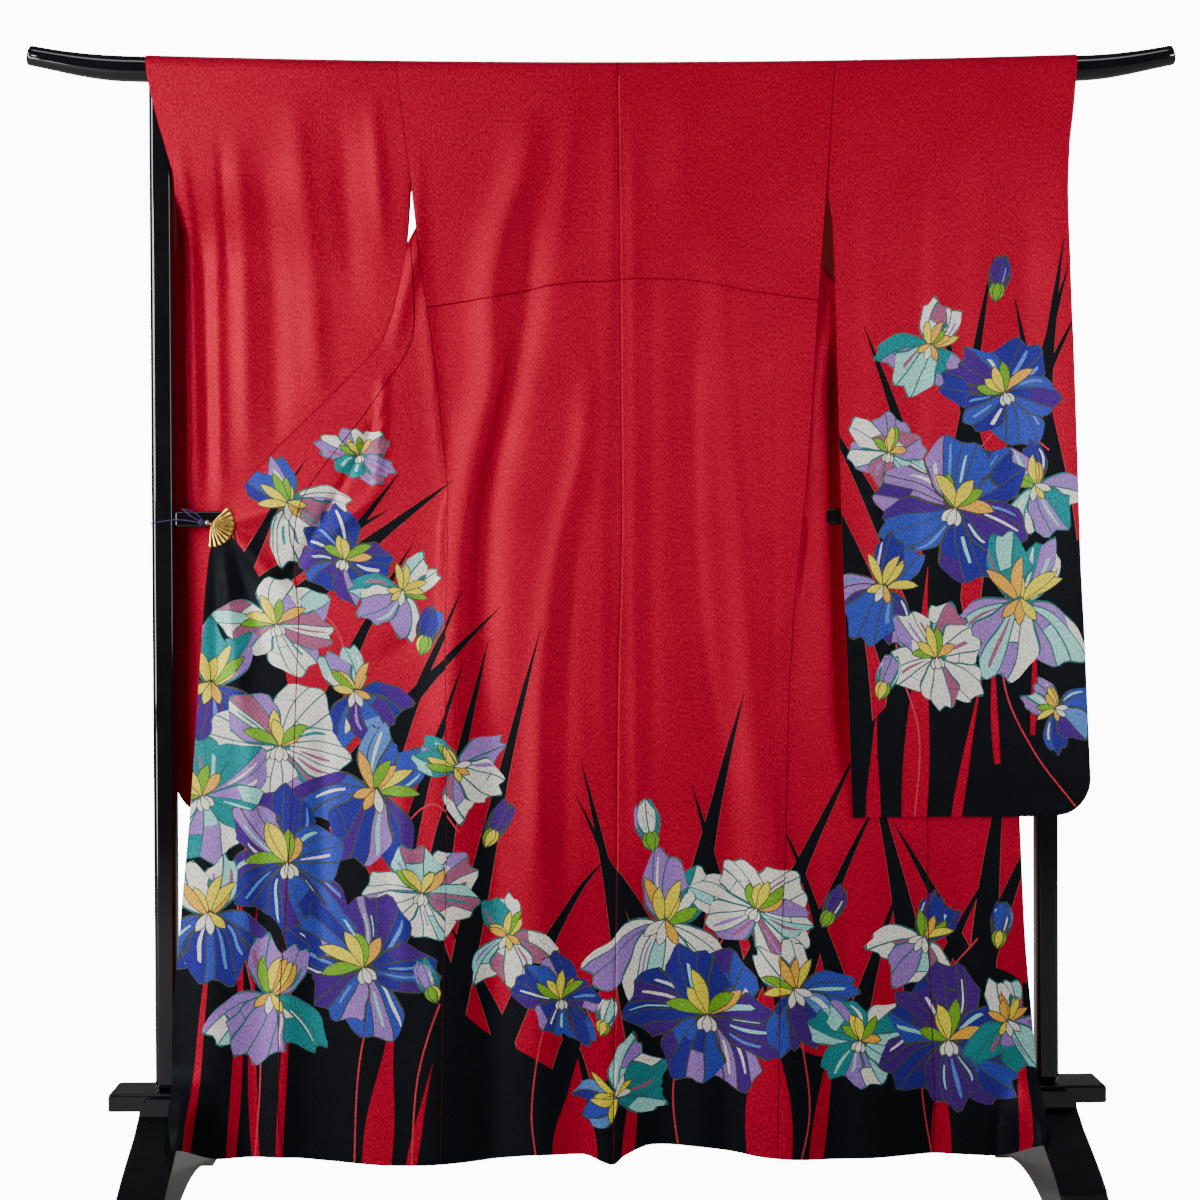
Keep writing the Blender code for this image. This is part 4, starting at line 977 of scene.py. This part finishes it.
def make_cloth(name, bm, node, wall=SILK_WALL):
    bmesh.ops.remove_doubles(bm, verts=bm.verts, dist=WELD)
    rims = [(edge, edge.link_faces[0]) for edge in bm.edges if len(edge.link_faces) == 1]
    outside_set = set(bm.faces)
    copied = bmesh.ops.duplicate(bm, geom=bm.verts[:] + bm.edges[:] + bm.faces[:])
    lie = bm.verts.layers.float_vector["lie"]
    inner = {vert: copied["vert_map"][vert] for vert in bm.verts if vert in copied["vert_map"]}
    inside_faces = [item for item in copied["geom"] if isinstance(item, bmesh.types.BMFace)]
    inside_verts = {item for item in copied["geom"] if isinstance(item, bmesh.types.BMVert)}
    for vert in bm.verts:
        vert.co += vert[lie] * (-wall / 2 if vert in inside_verts else wall / 2)
    bmesh.ops.reverse_faces(bm, faces=inside_faces)
    for face in inside_faces:
        face.material_index = 1
    colour, cut = bm.loops.layers.float_color["print"], bm.loops.layers.uv["cloth"]
    for edge, face in rims:
        loop = next(corner for corner in face.loops if corner.edge == edge)
        a, b = loop.vert, loop.link_loop_next.vert
        rim = bm.faces.new([b, a, inner[a], inner[b]])
        for corner, source in zip(rim.loops, (loop.link_loop_next, loop, loop, loop.link_loop_next)):
            corner[colour] = source[colour]
            corner[cut].uv = source[cut].uv
    bm.verts.index_update()
    bm.faces.index_update()
    normals = []
    inside_set = set(inside_faces)
    for face in bm.faces:
        face.smooth = True
        face.normal_update()
        for loop in face.loops:
            if face in outside_set:
                normals.append(Vector(loop.vert[lie]))
            elif face in inside_set:
                normals.append(-Vector(loop.vert[lie]))
            else:
                normals.append(face.normal.copy())
    mesh = mesh_from(name, bm)
    mesh.attributes.remove(mesh.attributes["lie"])
    mesh.normals_split_custom_set(normals)
    mesh.attributes.active_color = mesh.attributes["print"]
    obj = link_object(name, mesh, silk_face, silk_inside)
    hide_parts(node)


def steps(start, end, step):
    count = max(1, round(abs(end - start) / step))
    return [mix(start, end, k / count) for k in range(count + 1)]


# Body
# Two lengths of silk, each from the back's hem over the rail to the front's hem, seamed together down the centre
# back. A tuck is stitched across the back at the waist. Each front half is folded behind the back and opened
# outwards.
FRONT_WIDTH = 0.230
OKUMI_WIDTH = 0.150
OKUMI_TIP_DROP = 0.27
# Drops between which the overlap panels widen, and where the front half has its full width
OKUMI_DROPS = (0.25, 0.80)
FULL_FRONT_DROP = 0.25
NECK_X = {"left": -0.071, "right": 0.109}
# Depths of the two tucked plies behind the outermost cloth, and how the rear one parts from the other at the rail
TUCK_PLY = (0.004, 0.010)
PLY_GAP = 0.006
PLY_GAP_DROPS = (0.05, 0.12)
# The side seam: its allowance, how far from it the cloth lies close to the back, and the drops where it starts
SEAM_ALLOWANCE = 0.003
SEWN_REACH = (0.001, 0.016)
SEWN_DROPS = (0.29, 0.33)
SEWN_GAP = 0.0006
# Drops between which each front half comes forward from behind the rail
TUCK_DROPS = {"left": (0.12, 0.29), "right": (0.05, 0.29)}
SIDE_EDGE = {
    "left": [(0, 0.297), (0.08, 0.287), (0.16, 0.277), (0.29, 0.262), (0.47, 0.238), (0.65, 0.2246),
             (0.82, 0.229), (1.11, 0.228), (1.34, 0.234), (HEM_DROP, 0.238)],
    "right": [(0, 0.3296), (0.06, 0.325), (0.18, 0.3167), (0.34, 0.304), (0.57, 0.288), (0.80, 0.265),
              (0.92, 0.2567), (1.11, 0.250), (1.33, 0.2395), (HEM_DROP, 0.235)],
}
FREE_EDGE = {
    "left": [(0.05, 0.071), (0.264, 0.279), (0.31, 0.289), (0.39, 0.311), (0.48, 0.387), (0.57, 0.475),
             (0.66, 0.545), (0.72, 0.564), (0.86, 0.574), (1.05, 0.586), (1.245, 0.602), (1.40, 0.613),
             (1.50, 0.612), (HEM_DROP, 0.602)],
    "right": [(0.05, 0.109), (0.299, 0.310), (0.62, 0.540), (0.72, 0.568), (1.077, 0.582), (1.25, 0.587),
              (1.40, 0.598), (1.50, 0.604), (HEM_DROP, 0.600)],
}
SLEEVE_DROP = 1.074
# The sleeves' inner edges, and how far the right front half falls back behind the sleeve there
SLEEVE_INNER = {
    "left": [(0.17, 0.276), (0.22, 0.2795), (0.27, 0.284), (0.35, 0.290), (SLEEVE_DROP, 0.292)],
    "right": [(0.18, 0.3167), (0.24, 0.3235), (0.32, 0.3265), (0.48, 0.330), (0.80, 0.338), (SLEEVE_DROP, 0.3446)],
}
FALL_BACK = 0.018
CENTRE_SEAM = [(0, 0.019), (0.31, 0.021), (0.65, 0.0216), (0.90, 0.0144), (1.11, 0.0114), (HEM_DROP, 0.0036)]
# The ridge of the centre seam, then the stitched tuck: its stitches, how far it stands out and how high it is
RIDGE_HEIGHT = 0.0010
RIDGE_HALF_WIDTH = 0.0022
TUCK_STITCHES = 94
STITCH_LENGTH = 0.0046
TUCK_HEIGHT = 0.0012
TUCK_BAND = 0.034
# The stitched tuck across the back: X, drop
TUCK_LINE = [(-0.255, 0.354), (-0.148, 0.338), (-0.062, 0.321), (0.019, 0.315), (0.109, 0.317), (0.195, 0.330),
             (0.305, 0.346)]


def ply_offset(drop, ply):
    """How far behind the outermost cloth a tucked ply lies. It closes up below the tuck."""
    return TUCK_PLY[ply] * (1 - ease(drop, 0.70, 0.86))


def front_width(side, drop):
    """Width of the front half's body panel. It widens from the neck to its full width."""
    start = read(SIDE_EDGE[side], NECK_DROP) - SIGN[side] * NECK_X[side]
    return mix(start, FRONT_WIDTH, ramp(drop, NECK_DROP, FULL_FRONT_DROP))


def front_spread(side, drop):
    """Where the front half starts, turns and ends across the rack, and how wide its cloth is there."""
    start = read(SIDE_EDGE[side], drop)
    end = read(FREE_EDGE[side], drop)
    whole = front_width(side, drop) + OKUMI_WIDTH * ramp(drop, *OKUMI_DROPS)
    tucked = max(0.0, (whole - (end - start)) / 2) * (1 - ease(drop, 0.53, 0.68))
    return start, start - tucked, end, whole, tucked


def front_half(side, along, drop):
    """A point of the front half, along it from the side seam."""
    start, turn, end, whole, tucked = front_spread(side, drop)
    if along < tucked:
        out = start - along
    else:
        out = turn + (along - tucked) * (end - turn) / max(whole - tucked, 1e-6)
    # Below the armhole the side seam's allowance lies behind the back
    sewn = (1 - ease(along, *SEWN_REACH)) * ease(drop, *SEWN_DROPS)
    x = SIGN[side] * (out - SEAM_ALLOWANCE * sewn)
    shown = shown_y(x, drop)
    behind = [shown + ply_offset(drop, 0), shown + ply_offset(drop, 1)]
    brought = ease(drop, *TUCK_DROPS[side])
    plies = [mix(DRAPE_RADIUS, behind[0], brought),
             mix(DRAPE_RADIUS + PLY_GAP * ease(drop, *PLY_GAP_DROPS), behind[1], brought)]
    share = ease(along, tucked - 0.010, tucked + 0.010) if drop > NECK_DROP else 0
    y = mix(plies[0], plies[1], share)
    y = mix(y, shown + SEWN_GAP, sewn)
    if side == "right":
        inner = read(SLEEVE_INNER[side], drop)
        beside = ease(x, start, inner + 0.008) * (1 - ease(x, inner + 0.05, inner + 0.12))
        y += FALL_BACK * beside * ease(drop, 0.36, 0.48) * (1 - ease(drop, 0.92, SLEEVE_DROP))
    return Vector((x, y, hang_z(x, drop)))


def front_picture(side):
    """The part of the hem's picture that the opened front half can carry."""
    return [(dye, shape) for dye, shape in hem_picture
            if max(SIGN[side] * p.x for p in shape) > 0.2 and min(p.y for p in shape) > 0.42]


def front_flat(side):
    """Turns a point of the picture into the front half's flat metres."""
    def turned(point):
        drop = point.y
        _, turn, end, whole, tucked = front_spread(side, drop)
        return Vector((tucked + (SIGN[side] * point.x - turn) * (whole - tucked) / max(end - turn, 0.02), drop))
    return turned


def back_y(x, drop):
    """The back's own seams and stitched tuck, on top of the folds."""
    seam = min(abs(x - read(CENTRE_SEAM, drop)), 1.0)
    y = RIDGE_HEIGHT * math.exp(-((seam / RIDGE_HALF_WIDTH) ** 2))
    line = read(TUCK_LINE, x)
    return y - TUCK_HEIGHT * (1 - ease(drop, line - 0.0006, line + 0.0010)) * ease(drop, line - TUCK_BAND, line)


# Rows of points that keep the tuck and the centre seam narrow, then the stitches of the tuck. The stitches are dark
# red marks that also stand in as painted shade along the tuck's step
back_lines = []
for half in (0.0045, RIDGE_HALF_WIDTH):
    run = [mix(-0.262, 0.312, k / 80) for k in range(81)]
    back_lines.append(("red", [Vector((x, read(TUCK_LINE, x) - half)) for x in run]
                       + [Vector((x, read(TUCK_LINE, x) + half)) for x in run[::-1]]))
    run = [HEM_DROP * k / 150 for k in range(151)]
    back_lines.append(("red", [Vector((read(CENTRE_SEAM, drop) - 2 * half, drop)) for drop in run]
                       + [Vector((read(CENTRE_SEAM, drop) + 2 * half, drop)) for drop in run[::-1]]))
for k in range(TUCK_STITCHES):
    x = mix(-0.258, 0.308, k / TUCK_STITCHES)
    line = [(x, read(TUCK_LINE, x)), (x + STITCH_LENGTH, read(TUCK_LINE, x + STITCH_LENGTH))]
    back_lines.append(("seam", [Vector((a, b - 0.0004)) for a, b in line]
                       + [Vector((a, b + 0.0010)) for a, b in line[::-1]]))


def make_body(side):
    sign = SIGN[side]

    def inner(drop):
        return read(CENTRE_SEAM, drop)

    def outer(drop):
        return sign * read(SIDE_EDGE[side], drop)

    def drop_at(v):
        """Drop of a place on the length: v runs from the hem's drop down to the rail, and on behind it."""
        if v >= RAIL_RADIUS:
            return v
        return on_rail_drop(v) if v > TURNED else min(NECK_DROP, RAIL_RADIUS + TURNED - v)

    def hang(x, v):
        drop = drop_at(v)
        if v >= RAIL_RADIUS:
            return Vector((x, shown_y(x, drop) + back_y(x, drop), hang_z(x, drop)))
        angle = rail_angle(v)
        return on_rail(x, angle) if angle < math.pi / 2 else Vector((x, DRAPE_RADIUS, hang_z(x, drop)))

    behind = TURNED - (NECK_DROP - RAIL_RADIUS)
    rows = steps(behind, TURNED, CLOTH_STEP)[:-1] + steps(TURNED, RAIL_RADIUS, RAIL_STEP)
    rows += steps(RAIL_RADIUS, HEM_DROP, CLOTH_STEP)[1:]
    low, high = (outer, inner) if side == "left" else (inner, outer)
    # The shoulder's rear row and the front half's first row share their points
    width = front_width(side, NECK_DROP)
    count = round(width / CLOTH_STEP)
    shared = [mix(0, width, k / count) for k in range(1, count + 1)]
    start = read(SIDE_EDGE[side], NECK_DROP)
    rear = [sign * (start - m) for m in shared]
    rear += [mix(sign * (start - width), inner(NECK_DROP), k / 10) for k in range(1, 10)]
    bm = bmesh.new()
    sheet_of(bm, rows, lambda v: low(drop_at(v)), lambda v: high(drop_at(v)), CLOTH_STEP, hang,
             hem_picture, first=sorted(rear), seams="low high", lines=back_lines)
    sheet_of(bm, steps(NECK_DROP, HEM_DROP, CLOTH_STEP), lambda v: 0.0, lambda v: front_width(side, v), CLOTH_STEP,
             lambda u, v: front_half(side, u, v), front_picture(side), front_flat(side), side == "right", 2.0,
             first=shared[:-1], seams="high")
    make_cloth(f"body_{side}_silk", bm, f"body_{side}")


for side in SIGN:
    make_body(side)

# Overlap panels
# A narrow panel of the same silk is sewn to each front half's free edge, from a pointed tip at the chest down to the
# hem. It opens outwards with its front half and carries the picture on.
for side in SIGN:
    bm = bmesh.new()
    sheet_of(bm, steps(OKUMI_TIP_DROP, HEM_DROP, CLOTH_STEP), lambda v: front_width(side, v),
             lambda v: front_width(side, v) + OKUMI_WIDTH * ramp(v, *OKUMI_DROPS), CLOTH_STEP,
             lambda u, v: front_half(side, u, v), front_picture(side), front_flat(side), side == "right", 2.0,
             seams="low")
    make_cloth(f"okumi_{side}_silk", bm, f"okumi_{side}")

# Sleeves
# Each sleeve is one length folded over the rail. Its layers are sewn together below the hand's opening and along
# the bottom, where the outer corner is round. The picture is on the right sleeve's shown face.
SLEEVE_BOTTOM_Z = 0.553
SLEEVE_CORNER_RADIUS = 0.055
CORNER_STEP = 0.0035
# How far apart a sleeve's two layers hang, and at the seams
BAG_GAP = 0.0045
BAG_SEAM = 0.0010
LEFT_BAG_Y = 0.0215
# How far the right sleeve's hidden layer reaches behind the back at the armhole, and the drops of that lap
ARMHOLE_LAP = 0.030
LAP_STARTS = (0.180, 0.205)
LAP_ENDS = (0.32, 0.35)
# The outer edges of each sleeve's layers. The left one slips inside the post, the right one round it
SLEEVE_OUTER_SHOWN = {
    "left": [(0, 0.650), (0.03, 0.6465), (0.09, 0.633), (0.135, 0.620), (0.175, 0.6105), (0.25, 0.6105),
             (0.31, 0.622), (SLEEVE_DROP, 0.620)],
    "right": [(0, 0.676), (0.08, 0.669), (0.13, 0.663), (0.20, 0.660), (0.33, 0.664), (0.64, 0.673),
              (0.89, 0.679), (SLEEVE_DROP, 0.684)],
}
SLEEVE_OUTER_HIDDEN = {
    "left": [(0, 0.650), (0.10, 0.642), (0.20, 0.630), (0.31, 0.622), (SLEEVE_DROP, 0.620)],
    "right": [(0, 0.676), (0.05, 0.655), (0.085, 0.606), (0.13, 0.592), (0.19, 0.600), (0.22, 0.604),
              (0.25, 0.640), (0.28, 0.661), (0.33, 0.664), (0.64, 0.673), (0.89, 0.679), (SLEEVE_DROP, 0.684)],
}


def sleeve_edges(side, drop, hidden):
    """Inner and outer edges of a sleeve layer, measured from the middle of the rack."""
    table = SIDE_EDGE if drop <= SLEEVE_INNER[side][0][0] else SLEEVE_INNER
    rest = min(max(0.0, SLEEVE_CORNER_RADIUS - (SLEEVE_DROP - drop)), SLEEVE_CORNER_RADIUS)
    inset = SLEEVE_CORNER_RADIUS - math.sqrt(SLEEVE_CORNER_RADIUS**2 - rest**2)
    outer = (SLEEVE_OUTER_HIDDEN if hidden else SLEEVE_OUTER_SHOWN)[side]
    lap = ARMHOLE_LAP * ease(drop, *LAP_STARTS) * (1 - ease(drop, *LAP_ENDS)) if hidden and side == "right" else 0
    return read(table[side], drop) - lap, read(outer, drop) - inset


def sleeve_layers(side, x, share, drop):
    """Depths of a sleeve's shown and hidden layers. They close up at the outer seam and the bottom."""
    seam = max(ease(drop, 1.0, 1.06), ease(share, 0.8, 1) * ease(drop, 0.26, 0.33))
    gap = mix(BAG_GAP, BAG_SEAM, seam)
    if side == "left":
        passed = ease(drop, 0.15, mix(0.40, 0.27, share))
        folded = fold_depth(sleeve_folds, x, max(drop, 0))
        shown = mix(-DRAPE_RADIUS, LEFT_BAG_Y, passed) - folded
        return shown, mix(DRAPE_RADIUS, LEFT_BAG_Y + gap - folded, ease(drop, 0.05, 0.27))
    bag = shown_y(x, drop) + ply_offset(drop, 1) - 0.0045 - 0.004 * ease(abs(x), 0.45, 0.6)
    shown = mix(-DRAPE_RADIUS, bag - gap, ease(drop, RAIL_RADIUS, 0.22))
    hidden = mix(DRAPE_RADIUS, bag, ease(drop, mix(0.05, 0.085, share), mix(0.30, 0.215, share)))
    inner = read(SLEEVE_INNER[side], drop)
    lapped = (1 - ease(x, inner + 0.004, inner + 0.070)) * ease(drop, 0.15, 0.21) * (1 - ease(drop, 0.345, 0.385))
    rear = mix(DRAPE_RADIUS + 0.012, shown_y(x, drop) + TUCK_PLY[1] + 0.009, ease(drop, *TUCK_DROPS[side]))
    return shown, mix(hidden, max(hidden, rear), lapped)


def make_sleeve(side):
    sign = SIGN[side]

    def drop_at(v):
        if v >= RAIL_RADIUS:
            return v
        return on_rail_drop(v) if v > TURNED else RAIL_RADIUS + TURNED - v

    def edges(v):
        near, far = sleeve_edges(side, drop_at(v), v < TURNED)
        return (sign * near, sign * far) if sign > 0 else (sign * far, sign * near)

    def hang(x, v):
        if RAIL_RADIUS > v > TURNED:
            return on_rail(x, rail_angle(v))
        drop = drop_at(v)
        near, far = sleeve_edges(side, drop, v <= TURNED)
        depths = sleeve_layers(side, x, ramp(sign * x, near, far), drop)
        return Vector((x, depths[v <= TURNED], hang_z(x, drop, SLEEVE_DROP, SLEEVE_BOTTOM_Z)))

    corner = SLEEVE_DROP - SLEEVE_CORNER_RADIUS
    shown = steps(RAIL_RADIUS, corner, CLOTH_STEP)[1:] + steps(corner, SLEEVE_DROP, CORNER_STEP)[1:]
    rows = [RAIL_RADIUS + TURNED - v for v in reversed(shown)] + steps(TURNED, RAIL_RADIUS, RAIL_STEP) + shown
    bm = bmesh.new()
    sheet_of(bm, rows, lambda v: edges(v)[0], lambda v: edges(v)[1], CLOTH_STEP, hang,
             sleeve_picture if side == "right" else [], shift=4.0)
    make_cloth(f"sleeve_{side}_silk", bm, f"sleeve_{side}")


for side in SIGN:
    make_sleeve(side)

# Collar
# A long strip of the same silk, folded double, so it is thicker and stiffer than the rest. It is sewn on round the
# neck and down both front edges.
COLLAR_WIDTH = 0.055
COLLAR_END_DROP = 0.61
COLLAR_WALL = 0.0024
COLLAR_GAP = 0.005


def make_collar():
    long_steps, neck_steps, columns = 56, 18, 6
    path = [("left", mix(COLLAR_END_DROP, NECK_DROP, k / long_steps), 0) for k in range(long_steps)]
    path += [("neck", NECK_DROP, k / neck_steps) for k in range(neck_steps + 1)]
    path += [("right", mix(NECK_DROP, COLLAR_END_DROP, k / long_steps), 0) for k in range(1, long_steps + 1)]

    def seam(index):
        side, drop, share = path[index]
        if side == "neck":
            return Vector((mix(NECK_X["left"], NECK_X["right"], share), -drop))
        return Vector((SIGN[side] * read(FREE_EDGE[side], drop), -drop))

    def hang(column, row):
        before, after = seam(max(row - 3, 0)), seam(min(row + 3, len(path) - 1))
        along = (after - before).normalized()
        point = seam(row) + Vector((along.y, -along.x)) * (COLLAR_WIDTH * (column / columns) - SEAM_ALLOWANCE)
        x, drop = point.x, -point.y
        side = "left" if x < NECK_X["left"] or path[row][0] == "left" else "right"
        rear = DRAPE_RADIUS + COLLAR_GAP + PLY_GAP * ease(drop, *PLY_GAP_DROPS)
        front = shown_y(x, drop) + TUCK_PLY[1] + COLLAR_GAP
        return Vector((x, mix(rear, front, ease(drop, *TUCK_DROPS[side])), hang_z(x, drop)))

    def smooth_hang(u, v):
        row = min(int(v), len(path) - 2)
        return hang(u, row).lerp(hang(u, row + 1), v - row)

    bm = bmesh.new()
    sheet_of(bm, list(range(len(path))), lambda v: 0.0, lambda v: float(columns), 1.0, smooth_hang,
             flip=False, shift=8.0)
    make_cloth("collar_silk", bm, "collar", wall=COLLAR_WALL)


make_collar()

# Clip
# A folding fan stamped from thin gilded metal, riveted to a spring clip whose jaw grips the cloth from behind. A
# silver bead and the cord's knot sit beside it.
FAN_PIVOT = (-0.560, 0.9717)
FAN_RADIUS = 0.034
FAN_ANGLES = (-97.0, 47.0)
FAN_RIBS = 11
RIB_COLUMNS = 6
FAN_SHEET = 0.0009
FAN_HUB = 0.003
RIB_HEIGHT = 0.0005
SCALLOP = 0.0016
RIVET_RADIUS = 0.0026
JAW_ROUNDING = 0.0004
# The knot's cord is wound loosely, so it shows thicker than the cord's own width
KNOT_TURN_RADIUS = 0.0012
KNOT_SHIFT = 0.0012

gilding, nodes, links, shader = principled("gilded metal", (0.72, 0.47, 0.13), 0.30, 1.0)
place = nodes.new("ShaderNodeTexCoord")
brushed = add_node(nodes, "TexNoise", Scale=900, Detail=4)
tarnish = colour_ramp(nodes, (0.3, (0.36, 0.19, 0.03)), (0.6, (0.70, 0.43, 0.10)))
relief = add_node(nodes, "Bump", Strength=0.25, Distance=0.0002)
join(links, (place, "Object", brushed, "Vector"), (brushed, "Fac", tarnish, "Fac"),
     (tarnish, "Color", shader, "Base Color"), (brushed, "Fac", relief, "Height"),
     (relief, "Normal", shader, "Normal"))


def finish_small(name, bm, finish, node=None):
    for face in bm.faces:
        face.smooth = True
    bmesh.ops.recalc_face_normals(bm, faces=bm.faces)
    obj = link_object(name, mesh_from(name, bm), finish)
    if node:
        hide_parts(node)
    return obj


fan_low, fan_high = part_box("fan_clip")
face_y = (fan_low[1] + fan_high[1]) / 2
bm = bmesh.new()
columns, rows = FAN_RIBS * RIB_COLUMNS, 14
made = bmesh.ops.create_grid(bm, x_segments=columns, y_segments=rows, size=0.5)
for vert in made["verts"]:
    column, row = (vert.co.x + 0.5) * columns, (vert.co.y + 0.5)
    angle = math.radians(mix(*FAN_ANGLES, column / columns))
    crest = 0.5 - 0.5 * math.cos(2 * math.pi * column / RIB_COLUMNS)
    reach = mix(FAN_HUB, FAN_RADIUS - SCALLOP * (1 - crest) ** 1.5, row)
    arc = 0.0004 * math.exp(-(((row - 0.52) / 0.03) ** 2)) + 0.0003 * math.exp(-(((row - 0.93) / 0.03) ** 2))
    vert.co = (FAN_PIVOT[0] + reach * math.cos(angle), face_y - RIB_HEIGHT * (2 * crest - 1) * row - arc,
               FAN_PIVOT[1] + reach * math.sin(angle))
fan = finish_small("fan_gilded", bm, gilding, "fan_clip")
leaf = fan.modifiers.new("Sheet metal", "SOLIDIFY")
leaf.thickness = FAN_SHEET
leaf.offset = 0
bm = bmesh.new()
bmesh.ops.create_uvsphere(bm, u_segments=20, v_segments=12, radius=RIVET_RADIUS)
bmesh.ops.scale(bm, vec=(1, 0.5, 1), verts=bm.verts)
bmesh.ops.translate(bm, vec=(FAN_PIVOT[0] + 0.001, face_y - 0.0004, FAN_PIVOT[1]), verts=bm.verts)
finish_small("fan_rivet", bm, gilding)

jaw_low, jaw_high = (Vector(corner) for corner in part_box("clip_jaw"))
bm = new_block(jaw_high - jaw_low, (jaw_high + jaw_low) / 2)
jaw = finish_small("clip_jaw_plate", bm, gilding, "clip_jaw")
edge = jaw.modifiers.new("Rounded edges", "BEVEL")
edge.width, edge.segments = JAW_ROUNDING, 3

bead_silver, nodes, links, shader = principled("silver bead", (0.75, 0.75, 0.78), 0.2, 1.0)
place = nodes.new("ShaderNodeTexCoord")
wear = add_node(nodes, "TexNoise", Scale=700)
dulled = add_node(nodes, "MapRange", To_Min=0.12, To_Max=0.38)
join(links, (place, "Object", wear, "Vector"), (wear, "Fac", dulled, "Value"),
     (dulled, "Result", shader, "Roughness"))
bead_low, bead_high = (Vector(corner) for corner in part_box("clip_bead"))
bm = bmesh.new()
bmesh.ops.create_uvsphere(bm, u_segments=28, v_segments=18, radius=0.65 * (bead_high.z - bead_low.z))
bmesh.ops.translate(bm, vec=(bead_high + bead_low) / 2, verts=bm.verts)
finish_small("clip_bead_round", bm, bead_silver, "clip_bead")

# The knot: the cord wound three times round itself
knot_low, knot_high = (Vector(corner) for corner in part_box("tie_knot"))
middle, size = (knot_high + knot_low) / 2 - Vector((KNOT_SHIFT, 0, 0)), 0.66 * (knot_high.z - knot_low.z)
bm = bmesh.new()
for turn in range(3):
    tilt = Matrix.Rotation(math.radians(60 * turn), 4, "Y")
    tilt = Matrix.Translation(middle) @ tilt @ Matrix.Rotation(math.radians(24), 4, "X")
    upright = Matrix.Translation((size, 0, 0)) @ Matrix.Rotation(math.pi / 2, 4, "X")
    ring = bmesh.ops.create_circle(bm, segments=10, radius=KNOT_TURN_RADIUS, matrix=upright)
    edges = list({edge for vert in ring["verts"] for edge in vert.link_edges})
    bmesh.ops.spin(bm, geom=edges, cent=(0, 0, 0), axis=(0, 0, 1), dvec=(0, 0, 0), angle=2 * math.pi, steps=28,
                   use_merge=True)
    fresh = [v for v in bm.verts if not v.tag]
    bmesh.ops.transform(bm, matrix=tilt, verts=fresh)
    for vert in bm.verts:
        vert.tag = True
bmesh.ops.remove_doubles(bm, verts=bm.verts, dist=0.00001)
bmesh.ops.create_uvsphere(bm, u_segments=12, v_segments=8, radius=size * 0.9, matrix=Matrix.Translation(middle))
finish_small("tie_knot_wound", bm, braid, "tie_knot")

# Studio
# A pale floor that curves up into a pale wall. It shows almost white, as an evenly lit backdrop does. A large soft
# light stands on the left and a weaker one on the right, a small one is aimed at each sleeve, and others hang above,
# low on the left and behind.
floor_finish, nodes, links, shader = principled("pale floor", (0.34, 0.34, 0.34), 0.9)
seen = nodes.new("ShaderNodeLightPath")
share = add_node(nodes, "Math", operation="MULTIPLY")
share.inputs[1].default_value = 0.86
glow = add_node(nodes, "Emission", Strength=14)
blend = nodes.new("ShaderNodeMixShader")
join(links, (seen, "Is Camera Ray", share, 0), (share, "Value", blend, "Fac"), (shader, "BSDF", blend, 1),
     (glow, "Emission", blend, 2), (blend, "Shader", nodes["Material Output"], "Surface"))
bm = bmesh.new()
profile = [(-9.0, 0.0), (5.6, 0.0)] + [(5.6 + 1.4 * math.sin(a), 1.4 - 1.4 * math.cos(a))
                                      for a in [math.pi / 2 * k / 16 for k in range(1, 17)]] + [(7.0, 8.0)]
line = [bm.verts.new((-10, y, z)) for y, z in profile]
edges = [bm.edges.new(pair) for pair in zip(line, line[1:])]
swept = bmesh.ops.extrude_edge_only(bm, edges=edges)
bmesh.ops.translate(bm, vec=(20, 0, 0),
                    verts=[item for item in swept["geom"] if isinstance(item, bmesh.types.BMVert)])
for face in bm.faces:
    face.smooth = True
mesh = mesh_from("studio_floor", bm)
mesh.materials.append(floor_finish)
backdrop = bpy.data.objects.new("studio_floor", mesh)
studio.collection.objects.link(backdrop)


def soft_light(name, place, target, size, power, spread=180):
    lamp = bpy.data.lights.new(name, "AREA")
    lamp.spread = math.radians(spread)
    lamp.shape = "RECTANGLE"
    lamp.size, lamp.size_y = size
    lamp.energy = power
    obj = bpy.data.objects.new(name, lamp)
    studio.collection.objects.link(obj)
    obj.location = place
    obj.rotation_euler = (Vector(target) - Vector(place)).to_track_quat("-Z", "Y").to_euler()


soft_light("key", (-2.8, -2.4, 1.7), (0, 0, 0.9), (1.0, 2.4), 122)
soft_light("left front", (-2.0, -2.9, 1.5), (-0.57, 0, 1.10), (0.3, 0.8), 0.55, 25)
soft_light("right", (3.2, -2.0, 1.8), (0, 0, 0.9), (1.0, 2.4), 32)
soft_light("right front", (2.4, -2.6, 1.2), (0.55, 0, 1.1), (0.3, 0.8), 0.9, 25)
soft_light("top", (0.0, -0.9, 3.4), (0, 0.1, 0.5), (2.6, 0.5), 12)
soft_light("over", (0.0, 1.6, 3.3), (0, 0.0, 0.3), (2.0, 0.16), 8)
soft_light("behind top", (0.0, 3.0, 3.6), (0, 0.0, 0.5), (2.4, 1.0), 12)
soft_light("low", (-2.3, -2.4, 0.3), (-0.7, 0, 1.5), (0.7, 0.4), 12)
for x in (-2.6, 2.6):
    soft_light("behind", (x, 2.6, 2.2), (0, 0, 0.9), (1.0, 2.0), 60)
world = bpy.data.worlds.new("studio")
world.use_nodes = True
set_inputs(world.node_tree.nodes["Background"], Color=(1, 1, 1, 1), Strength=0.04)
studio.world = world
